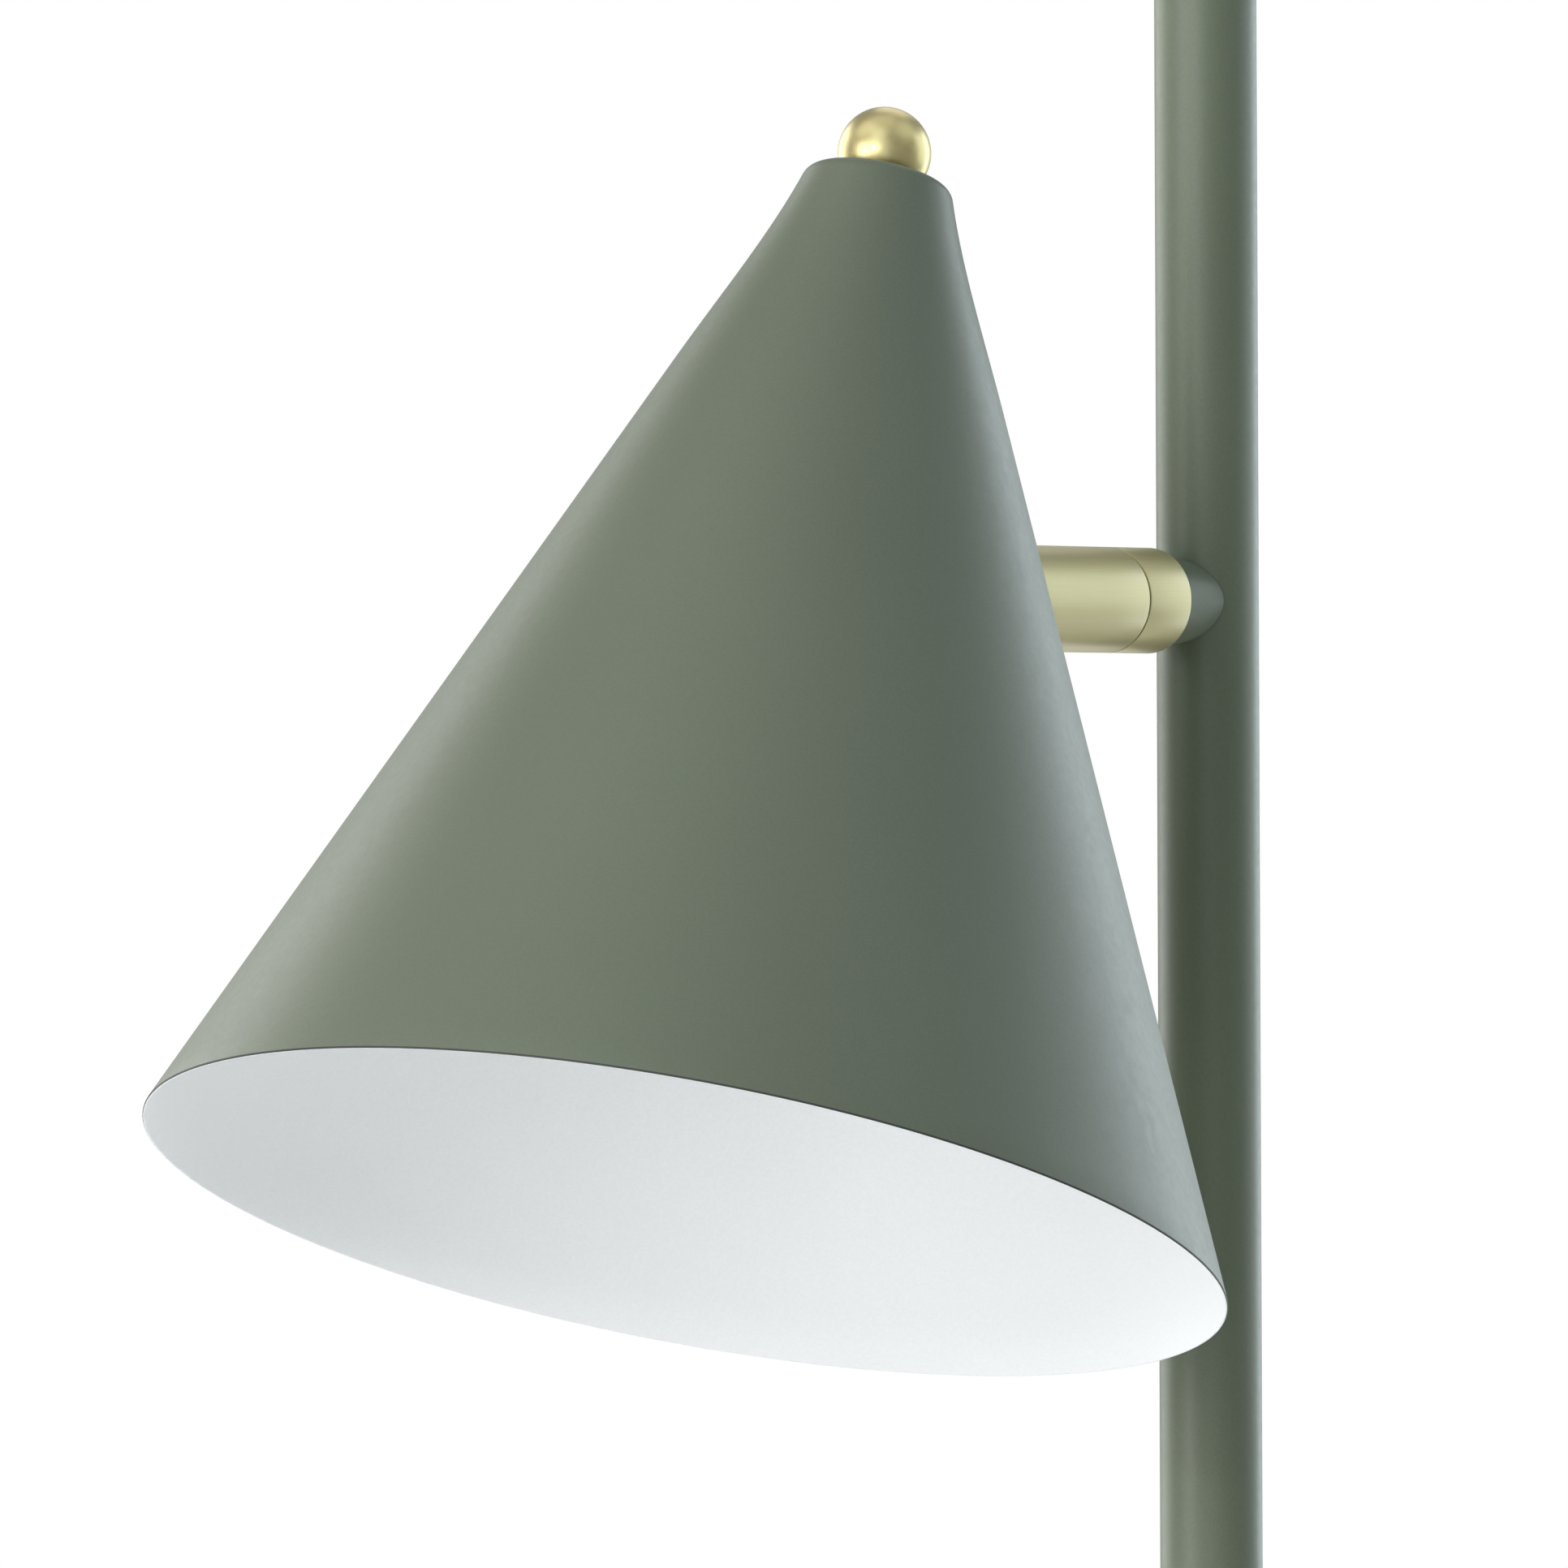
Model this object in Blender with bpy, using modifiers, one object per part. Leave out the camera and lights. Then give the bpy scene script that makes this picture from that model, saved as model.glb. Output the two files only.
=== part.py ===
"""Adjustable arm floor lamp: a conical shade that swivels about a short brass arm on a tall pole.

Metres, +Z up. The origin is on the floor at the centre of the round base, the pole stands on
the Z axis, and the arm points to -Y, which is the front.
"""
import math

import bmesh
import bpy
from mathutils import Vector

# ---------------------------------------------------------------- general sizes
GAP = 0.0003                    # clearance left between two touching pieces
OVERSHOOT = 0.002               # how far a cutter runs past the face that it opens
THREAD_RADIUS = 0.0050          # the hollow threaded nipples, ten millimetres across
THREAD_CLEARANCE = 0.0053       # the holes that those nipples pass through
NUT_ACROSS_FLATS = 0.014
LEAD_RADIUS = 0.0016            # thin twin lead that runs inside the lamp
LEAD_BORE = 0.0030              # bore of the nipples on the arm and in the shade

# ---------------------------------------------------------------- base
BASE_RADIUS = 0.140
BASE_HEIGHT = 0.022
BASE_EDGE_RADIUS = 0.006
COVER_SHEET = 0.0015
COVER_RIM_HEIGHT = 0.0012       # the cover's rim floats this far above the floor
PAD_RADIUS = 0.124
PAD_THICKNESS = 0.002
WEIGHT_RADIUS = 0.120
WEIGHT_TOP = BASE_HEIGHT - COVER_SHEET - GAP
WELL_RADIUS = 0.016             # round well under the weight, for the nut that holds the pole
WELL_TOP = 0.0175
CHANNEL_WIDTH = 0.010           # channel for the lead, from the well to the back edge
CHANNEL_TOP = 0.011
FOOT_BORE = 0.0035
FOOT_WASHER_RADIUS = 0.0140
WASHER_THICKNESS = 0.0012
FOOT_NIPPLE_BOTTOM = 0.011
FOOT_NIPPLE_TOP = 0.044
FOOT_INSERT_TOP = 0.050
TERMINAL_SIZE = Vector((0.016, 0.022, 0.009))
TERMINAL_CENTRE = Vector((0.0, 0.094, 0.0071))
TERMINAL_ROOM = 0.003           # free space around the terminal block in its pocket
TERMINAL_HOLE_RADIUS = 0.0016
TERMINAL_HOLE_SPACING = 0.0076
GLAND_HEIGHT = 0.0072
GLAND_BORE = 0.0032             # free inlet for the mains lead
GLAND_RADIUS = 0.0040
GLAND_FLANGE_RADIUS = 0.0054
GLAND_FLANGE_THICKNESS = 0.0022
GLAND_REACH = 0.0090            # how far the gland runs in behind the cover's face
GLAND_HOLE_REACH = 0.010        # how far the cutter runs each way from the cover's face
GLAND_NUT_RADIUS = 0.0062
GLAND_NUT_THICKNESS = 0.0030
SMALL_EDGE = 0.0004             # broken edge on small turned and moulded pieces
LARGE_EDGE = 0.0008

# ---------------------------------------------------------------- pole
POLE_RADIUS = 0.0125
POLE_WALL = 0.0015
POLE_BORE = POLE_RADIUS - POLE_WALL
POLE_FOOT = BASE_HEIGHT + GAP
POLE_SPLIT = 0.700              # where the two lengths of tube meet
POLE_TOP = 1.4799
COUPLER_REACH = 0.030
PLUG_DEPTH = 0.016
PLUG_FLANGE = 0.0015
STUD_RADIUS = 0.0027
STUD_REACH = 0.0080

# ---------------------------------------------------------------- arm and swivel
ARM_HEIGHT = 1.250
WIRE_HOLE_RADIUS = 0.0060       # hole through the pole's wall behind the stub
STUB_RADIUS = 0.01025
STUB_BORE = 0.0086
STUB_END = 0.0250
STUB_INSERT_START = 0.0155
BRASS_RADIUS = 0.01285
BRASS_EDGE = 0.0004             # small broken edge on the brass ring and sleeve
RING_END = 0.0424
SEAM = 0.0426                   # the plane in which the arm turns, from the pole's axis
SLEEVE_START = 0.0429
SLEEVE_WEB = 0.0072
SLEEVE_BORE = 0.0095
SLEEVE_PLUG_START = 0.0930
SLEEVE_PLUG_END = 0.1040
RECESS_RADIUS = 0.0076          # recess for the friction washer in the ring's face
RECESS_DEPTH = 0.0012
STOP_CIRCLE = 0.0103            # the two stop pins run on this radius
STOP_RADIUS = 0.0009
STOP_GROOVE = 0.0013            # half width of the groove that the stop pins run in
STOP_GROOVE_DEPTH = 0.0026
ARM_NIPPLE_START = 0.0160
ARM_NIPPLE_END = 0.0640
SHADE_NIPPLE_START = 0.0945
SHADE_NIPPLE_END = 0.1236
SADDLE_FACE = 0.1182            # flat inner face of the saddle washer
SADDLE_RADIUS = 0.0125
SADDLE_BLANK_START = 0.0850      # the blank that the washer is cut from reaches out past the shade here
NUT_THICKNESS = 0.0038
WAVE_WASHER_RADIUS = 0.0088
WAVE_WASHER_THICKNESS = 0.0009
STOP_PIN_SEAT = 0.0060          # how deep the fixed stop pin sits in the ring
STOP_PIN_REACH = 0.0020         # how far it stands into the sleeve's groove
MOVING_PIN_SEAT = 0.0036        # how deep the moving pin sits past the groove's floor
BUSH_BORE = 0.0022
BUSH_FLANGE = 0.0016
BUSH_DEPTH = 0.0060

# ---------------------------------------------------------------- shade
ARM_REACH = 0.1693              # pole axis to the point where the arm's axis meets the shade's
SHADE_TILT = math.radians(18.1)
SHADE_DROP = 0.1543             # from that point down the shade's axis to its opening
SHADE_RADIUS = 0.130
SHADE_HEIGHT = 0.259
SHADE_SHEET = 0.0012
CONE_ANGLE = math.radians(23.7)
SHOULDER_RADIUS = 0.004
SHOULDER_WALL_ANGLE = math.radians(18.0)
WAIST_START = 0.2056            # above this the cone's wall bends into a gentle waist
WAIST_DEPTH = 0.0055
WAIST_CROSSING = 0.79
ENVELOPE_RISE = 0.020           # how far the straight cone that cuts the arm runs on past the waist

# ---------------------------------------------------------------- finials
FINIAL_RADIUS = 0.0112
FINIAL_SEAT = 0.0068            # from the ball's centre down to its flat seat

# ---------------------------------------------------------------- lampholder and bulb
HOLDER_RADIUS = 0.0195
HOLDER_CAP_TOP = 0.2500
HOLDER_CAP_BOTTOM = 0.2180
HOLDER_MOUTH = 0.1830
HOLDER_BORE = 0.0172
HOLDER_NIPPLE_BOTTOM = 0.2400
HOLDER_NECK_RADIUS = 0.0075
HOLDER_NECK_BOTTOM = 0.2395
HOLDER_DOME_RADIUS = 0.0085     # radius of the circle that the dome's arc is centred on
HOLDER_DOME_HEIGHT = 0.2270
HOLDER_WASHER_RADIUS = 0.0100
HOLDER_NUT_THICKNESS = 0.0030
INSERT_TOP = 0.2172
INSERT_BOTTOM = 0.2060
INSERT_RADIUS = 0.0166
SHELL_RADIUS = 0.0148
SHELL_BORE = 0.0142
SHELL_BOTTOM = 0.1860
LEAD_ENTRY_HEIGHT = 0.2280      # where the lead enters the side of the holder's cap
THREAD_RIDGES = 4
THREAD_DEPTH = 0.0005
BULB_BASE_TOP = 0.1990
CONTACT_TRAVEL = 0.0024          # gap above the bulb's tip, as with the bulb a turn short of home
BULB_BASE_BOTTOM = 0.1745
BULB_BASE_RADIUS = 0.0132
BULB_BASE_WALL = 0.0007
BULB_TIP_RADIUS = 0.0046
BULB_INSULATOR_RADIUS = 0.0098
BULB_INSULATOR_DROP = 0.0030
BULB_COLLAR_DROP = 0.0045       # from the tip down to where the rolled thread starts
BULB_COLLAR_DEPTH = 0.0015
BULB_RADIUS = 0.0300
BULB_CENTRE = 0.1240
BULB_SHEET = 0.0010
BULB_NECK_RADIUS = 0.0128
BULB_NECK_END = 0.1740
BULB_BLEND_RADIUS = 0.040       # hollow curve between the neck and the globe

# ---------------------------------------------------------------- smoothness
COARSE, MEDIUM, FINE, EXTRA_FINE = 10, 16, 28, 48
SHARP_ANGLE = math.radians(35.0)
SCREW_MERGE = 0.00001

# name: (colour, roughness, metallic)
FINISHES = {
    "sage_paint": ((0.137, 0.164, 0.112), 0.45, 0.0),
    "satin_brass": ((0.600, 0.545, 0.300), 0.32, 1.0),
    "cast_iron": ((0.050, 0.050, 0.052), 0.70, 0.6),
    "zinc_steel": ((0.560, 0.570, 0.580), 0.35, 1.0),
    "black_pad": ((0.020, 0.020, 0.020), 0.90, 0.0),
    "black_plastic": ((0.025, 0.025, 0.025), 0.45, 0.0),
    "white_plastic": ((0.750, 0.750, 0.730), 0.40, 0.0),
    "nylon": ((0.700, 0.690, 0.640), 0.50, 0.0),
    "porcelain": ((0.800, 0.790, 0.760), 0.25, 0.0),
    "nickel": ((0.660, 0.640, 0.600), 0.25, 1.0),
    "opal_glass": ((0.900, 0.900, 0.880), 0.30, 0.0),
    "lead_sheath": ((0.780, 0.780, 0.760), 0.50, 0.0),
}


# ================================================================ scene and materials
def clear_scene():
    for old in list(bpy.data.objects):
        bpy.data.objects.remove(old, do_unlink=True)


def make_collection(name):
    collection = bpy.data.collections.new(name)
    bpy.context.scene.collection.children.link(collection)
    return collection


def make_material(name):
    colour, roughness, metallic = FINISHES[name]
    material = bpy.data.materials.new(name)
    material.use_nodes = True
    shader = material.node_tree.nodes["Principled BSDF"]
    shader.inputs["Base Color"].default_value = (*colour, 1.0)
    shader.inputs["Roughness"].default_value = roughness
    shader.inputs["Metallic"].default_value = metallic
    return material


clear_scene()
PARTS = make_collection("adjustable_arm_floor_lamp")
CUTTERS = make_collection("cutters")
MATERIALS = {name: make_material(name) for name in FINISHES}


# ================================================================ frames that pieces hang from
def make_frame(name, location, turn_x=0.0, parent=None):
    """An empty whose own +Z is the axis that its pieces are turned about."""
    frame = bpy.data.objects.new(name, None)
    frame.location = location
    frame.rotation_euler = (turn_x, 0.0, 0.0)
    frame.parent = parent
    PARTS.objects.link(frame)
    return frame


def shade_point(radius, height):
    """World position of a point in the shade's own plane, +radius being the side of the pole."""
    centre_y = -ARM_REACH - SHADE_DROP * math.sin(SHADE_TILT)
    centre_z = ARM_HEIGHT - SHADE_DROP * math.cos(SHADE_TILT)
    y = centre_y + radius * math.cos(SHADE_TILT) + height * math.sin(SHADE_TILT)
    z = centre_z - radius * math.sin(SHADE_TILT) + height * math.cos(SHADE_TILT)
    return Vector((0.0, y, z))


ALONG_ARM = math.radians(90.0)  # turns a frame's +Z to -Y
SWIVEL_POINT = Vector((0.0, -SEAM, ARM_HEIGHT))
FLOOR_FRAME = make_frame("floor_frame", (0.0, 0.0, 0.0))
ARM_FRAME = make_frame("arm_frame", (0.0, 0.0, ARM_HEIGHT), ALONG_ARM, FLOOR_FRAME)
SWIVEL_FRAME = make_frame("swivel_axis", SWIVEL_POINT, 0.0, FLOOR_FRAME)
HEAD_ARM_FRAME = make_frame("head_arm_frame", (0.0, SEAM, 0.0), ALONG_ARM, SWIVEL_FRAME)
SHADE_FRAME = make_frame("shade_axis", shade_point(0.0, 0.0) - SWIVEL_POINT, -SHADE_TILT, SWIVEL_FRAME)


# ================================================================ ways of making a piece
def place(piece, frame, material):
    """Hang a piece from its frame; without a material it is a cutter."""
    piece.parent = frame
    if material is None:
        piece.hide_render = True
        piece.display_type = "WIRE"
        CUTTERS.objects.link(piece)
    else:
        piece.data.materials.append(MATERIALS[material])
        PARTS.objects.link(piece)
    return piece


def turned(name, outline, frame, material=None, steps=MEDIUM, sheet=0.0):
    """Turn an outline of (radius, height) points, listed down its outer side, about the frame's Z.

    With a sheet thickness the outline stays open and becomes a thin shell inside it.
    """
    points = [(radius, 0.0, height) for radius, height in outline]
    edges = [(index, index + 1) for index in range(len(points) - 1)]
    if not sheet and outline[0][0] > 0.0:
        edges.append((len(points) - 1, 0))
    mesh = bpy.data.meshes.new(name)
    mesh.from_pydata(points, edges, [])
    piece = bpy.data.objects.new(name, mesh)
    screw = piece.modifiers.new("Turn", "SCREW")
    screw.steps = steps
    screw.render_steps = steps
    screw.use_merge_vertices = True
    screw.merge_threshold = SCREW_MERGE
    if sheet:
        shell = piece.modifiers.new("Sheet", "SOLIDIFY")
        shell.thickness = sheet
        shell.offset = -1.0
        shell.use_even_offset = True
    return place(piece, frame, material)


def ring(outer, inner, low, high, edge=0.0):
    """Outline of a ring or, with no inner radius, of a plain disc; edge breaks its outer corners."""
    outside = [(outer, high), (outer, low)]
    if edge:
        outside = [(outer - edge, high), (outer, high - edge), (outer, low + edge), (outer - edge, low)]
    return [(inner, high)] + outside + [(inner, low)]


def arc(centre, radius, start, end, count):
    """Points on an arc in a turned outline; the angles are degrees above the radial direction."""
    points = []
    for index in range(count + 1):
        angle = math.radians(start + (end - start) * index / count)
        points.append((centre[0] + radius * math.cos(angle), centre[1] + radius * math.sin(angle)))
    return points


def block(name, centre, size, frame, material=None, bevel=0.0):
    mesh = bpy.data.meshes.new(name)
    cage = bmesh.new()
    bmesh.ops.create_cube(cage, size=1.0)
    bmesh.ops.scale(cage, vec=size, verts=cage.verts)
    bmesh.ops.translate(cage, vec=centre, verts=cage.verts)
    cage.to_mesh(mesh)
    cage.free()
    piece = bpy.data.objects.new(name, mesh)
    if bevel:
        rounding = piece.modifiers.new("Edges", "BEVEL")
        rounding.width = bevel
        rounding.segments = 2
    return place(piece, frame, material)


def cut(piece, *cutters, operation="DIFFERENCE"):
    for cutter in cutters:
        boolean = piece.modifiers.new(cutter.name, "BOOLEAN")
        boolean.operation = operation
        boolean.solver = "EXACT"
        boolean.object = cutter
    return piece


def drill(name, radius, low, high, frame, steps=MEDIUM):
    """A round cutter along the frame's Z."""
    return turned(name, ring(radius, 0.0, low, high), frame, steps=steps)


def cross_drill(name, radius, centre, reach, frame, steps=MEDIUM):
    """A round cutter along the frame's Y, from the centre to the centre plus reach."""
    bpy.ops.mesh.primitive_cylinder_add(vertices=steps, radius=radius, depth=abs(reach))
    cutter = bpy.context.object
    cutter.name = name
    bpy.context.collection.objects.unlink(cutter)
    cutter.location = Vector(centre) + Vector((0.0, reach / 2.0, 0.0))
    cutter.rotation_euler = (ALONG_ARM, 0.0, 0.0)
    return place(cutter, frame, None)


def hex_nut(name, low, thickness, frame, material="zinc_steel"):
    """A thin hexagon nut on a nipple, its thread drawn as a plain hole."""
    mesh = bpy.data.meshes.new(name)
    cage = bmesh.new()
    corner_radius = NUT_ACROSS_FLATS / math.sqrt(3.0)
    bmesh.ops.create_cone(
        cage, cap_ends=True, segments=6, radius1=corner_radius, radius2=corner_radius, depth=thickness
    )
    bmesh.ops.translate(cage, vec=(0.0, 0.0, low + thickness / 2.0), verts=cage.verts)
    cage.to_mesh(mesh)
    cage.free()
    nut = place(bpy.data.objects.new(name, mesh), frame, material)
    bore = drill(name + "_bore", THREAD_CLEARANCE, low - OVERSHOOT, low + thickness + OVERSHOOT, frame)
    return cut(nut, bore)


def smooth_route(points, spans):
    """Read a smooth curve through the route's own points, with a number of steps for each span."""
    route = [Vector(point) for point in points]
    first = route[0] * 2.0 - route[1]
    last = route[-1] * 2.0 - route[-2]
    padded = [first] + route + [last]
    result = [route[0]]
    for index, steps in enumerate(spans):
        before, start, end, after = padded[index:index + 4]
        length = (end - start).length
        leave = (end - before).normalized() * length
        arrive = (after - start).normalized() * length
        for step in range(1, steps + 1):
            t = step / steps
            point = start * (2 * t ** 3 - 3 * t ** 2 + 1) + leave * (t ** 3 - 2 * t ** 2 + t)
            point += end * (3 * t ** 2 - 2 * t ** 3) + arrive * (t ** 3 - t ** 2)
            result.append(point)
    return result


def lead(name, points, spans, frame):
    """A round lead along a route given in the frame's own coordinates."""
    curve = bpy.data.curves.new(name + "_route", "CURVE")
    curve.dimensions = "3D"
    curve.bevel_depth = LEAD_RADIUS
    curve.bevel_resolution = 2
    curve.use_fill_caps = True
    route = smooth_route(points, spans)
    spline = curve.splines.new("POLY")
    spline.points.add(len(route) - 1)
    for knot, position in zip(spline.points, route):
        knot.co = (*position, 1.0)
    guide = bpy.data.objects.new(name + "_route", curve)
    PARTS.objects.link(guide)
    bpy.context.view_layer.update()
    mesh = bpy.data.meshes.new_from_object(guide.evaluated_get(bpy.context.evaluated_depsgraph_get()))
    bpy.data.objects.remove(guide, do_unlink=True)
    skin = bmesh.new()
    skin.from_mesh(mesh)
    bmesh.ops.remove_doubles(skin, verts=skin.verts, dist=SCREW_MERGE)
    skin.to_mesh(mesh)
    skin.free()
    mesh.name = name
    return place(bpy.data.objects.new(name, mesh), frame, "lead_sheath")


# ================================================================ base
def make_base():
    turned("base_pad", [(0.0, PAD_THICKNESS), (PAD_RADIUS, PAD_THICKNESS), (PAD_RADIUS, 0.0), (0.0, 0.0)],
           FLOOR_FRAME, "black_pad", FINE)

    underside = PAD_THICKNESS + GAP
    weight = turned("base_weight", ring(WEIGHT_RADIUS, THREAD_CLEARANCE, underside, WEIGHT_TOP, LARGE_EDGE),
                    FLOOR_FRAME, "cast_iron", FINE)
    well = drill("weight_well", WELL_RADIUS, underside - OVERSHOOT, WELL_TOP, FLOOR_FRAME)
    channel_end = WEIGHT_RADIUS + OVERSHOOT
    channel = block("weight_channel", (0.0, channel_end / 2.0, CHANNEL_TOP / 2.0),
                    (CHANNEL_WIDTH, channel_end, CHANNEL_TOP), FLOOR_FRAME)
    room = TERMINAL_SIZE + Vector((TERMINAL_ROOM, TERMINAL_ROOM, 0.0)) * 2.0
    room.z = TERMINAL_CENTRE.z * 2.0
    pocket = block("terminal_pocket", TERMINAL_CENTRE, room, FLOOR_FRAME)
    cut(weight, well, channel, pocket)

    make_base_cover()
    make_pole_fixing()
    make_terminal_block()
    make_gland()


def make_base_cover():
    edge_centre = (BASE_RADIUS - BASE_EDGE_RADIUS, BASE_HEIGHT - BASE_EDGE_RADIUS)
    outline = [(THREAD_CLEARANCE, BASE_HEIGHT)] + arc(edge_centre, BASE_EDGE_RADIUS, 90.0, 0.0, 4)
    outline.append((BASE_RADIUS, COVER_RIM_HEIGHT))
    cover = turned("base_cover", outline, FLOOR_FRAME, "sage_paint", EXTRA_FINE, COVER_SHEET)
    hole = cross_drill("gland_hole", GLAND_RADIUS + GAP, (0.0, BASE_RADIUS - GLAND_HOLE_REACH, GLAND_HEIGHT),
                       2.0 * GLAND_HOLE_REACH, FLOOR_FRAME)
    cut(cover, hole)


def make_pole_fixing():
    """The hollow nipple that ties the pole to the weight, with its washer and nut in the well."""
    turned("foot_nipple", ring(THREAD_RADIUS, FOOT_BORE, FOOT_NIPPLE_BOTTOM, FOOT_NIPPLE_TOP),
           FLOOR_FRAME, "zinc_steel")
    washer_top = WELL_TOP - GAP
    washer_bottom = washer_top - WASHER_THICKNESS
    turned("foot_washer", ring(FOOT_WASHER_RADIUS, THREAD_CLEARANCE, washer_bottom, washer_top),
           FLOOR_FRAME, "zinc_steel")
    hex_nut("foot_nut", washer_bottom - GAP - NUT_THICKNESS, NUT_THICKNESS, FLOOR_FRAME)


def make_terminal_block():
    terminal = block("terminal_block", TERMINAL_CENTRE, TERMINAL_SIZE, FLOOR_FRAME,
                     "white_plastic", LARGE_EDGE)
    for side in (-1.0, 1.0):
        start = TERMINAL_CENTRE + Vector((side * TERMINAL_HOLE_SPACING / 2.0, -TERMINAL_SIZE.y, 0.0))
        hole = cross_drill("terminal_hole_%+d" % side, TERMINAL_HOLE_RADIUS, start,
                           TERMINAL_SIZE.y * 2.0, FLOOR_FRAME, COARSE)
        cut(terminal, hole)


def make_gland():
    """Flanged bush for the mains lead in the back of the base cover, and the nut behind it."""
    gland_frame = make_frame("gland_axis", (0.0, BASE_RADIUS, GLAND_HEIGHT), -ALONG_ARM, FLOOR_FRAME)
    flange_back = 2.0 * GAP
    flange_front = flange_back + GLAND_FLANGE_THICKNESS
    outline = [
        (GLAND_BORE, flange_front),
        (GLAND_FLANGE_RADIUS - LARGE_EDGE, flange_front),
        (GLAND_FLANGE_RADIUS, flange_front - LARGE_EDGE),
        (GLAND_FLANGE_RADIUS, flange_back),
        (GLAND_RADIUS, flange_back),
        (GLAND_RADIUS, -GLAND_REACH),
        (GLAND_BORE, -GLAND_REACH),
    ]
    turned("cord_gland", outline, gland_frame, "black_plastic")
    nut_front = -COVER_SHEET - 2.0 * GAP
    nut_back = nut_front - GLAND_NUT_THICKNESS
    nut_outline = ring(GLAND_NUT_RADIUS, GLAND_RADIUS + GAP, nut_back, nut_front, SMALL_EDGE)
    turned("gland_nut", nut_outline, gland_frame, "black_plastic")


# ================================================================ pole
def make_pole():
    fit_radius = POLE_BORE - GAP
    turned("pole_foot_insert", ring(fit_radius, THREAD_CLEARANCE, POLE_FOOT, FOOT_INSERT_TOP, SMALL_EDGE),
           FLOOR_FRAME, "zinc_steel")
    turned("pole_lower", ring(POLE_RADIUS, POLE_BORE, POLE_FOOT, POLE_SPLIT), FLOOR_FRAME, "sage_paint", FINE)
    coupler_bottom = POLE_SPLIT - COUPLER_REACH
    turned("pole_coupler",
           ring(fit_radius, THREAD_RADIUS, coupler_bottom, POLE_SPLIT + COUPLER_REACH, LARGE_EDGE),
           FLOOR_FRAME, "zinc_steel")
    upper = turned("pole_upper", ring(POLE_RADIUS, POLE_BORE, POLE_SPLIT + GAP, POLE_TOP),
                   FLOOR_FRAME, "sage_paint", FINE)
    cut(upper, drill("wire_hole", WIRE_HOLE_RADIUS, 0.0, 2.0 * POLE_RADIUS, ARM_FRAME))

    plug_bottom = POLE_TOP - PLUG_DEPTH
    flange_bottom = POLE_TOP + GAP
    flange_top = flange_bottom + PLUG_FLANGE
    plug_outline = [
        (0.0, flange_top),
        (POLE_RADIUS - SMALL_EDGE, flange_top),
        (POLE_RADIUS, flange_top - SMALL_EDGE),
        (POLE_RADIUS, flange_bottom),
        (fit_radius, flange_bottom),
        (fit_radius, plug_bottom),
        (0.0, plug_bottom),
    ]
    plug = turned("pole_top_plug", plug_outline, FLOOR_FRAME, "sage_paint", FINE)
    stud_bottom = flange_top - STUD_REACH
    cut(plug, drill("stud_hole", STUD_RADIUS + GAP, stud_bottom - GAP, flange_top + OVERSHOOT, FLOOR_FRAME))

    centre = flange_top + GAP + FINIAL_SEAT
    outline = ball_outline(centre) + [(STUD_RADIUS, centre - FINIAL_SEAT), (STUD_RADIUS, stud_bottom)]
    outline.append((0.0, stud_bottom))
    turned("pole_finial", outline, FLOOR_FRAME, "satin_brass", FINE)


def ball_outline(centre):
    """A ball from its top down to its flat seat."""
    seat_angle = -math.degrees(math.asin(FINIAL_SEAT / FINIAL_RADIUS))
    return [(0.0, centre + FINIAL_RADIUS)] + arc((0.0, centre), FINIAL_RADIUS, 90.0, seat_angle, 9)[1:]


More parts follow.
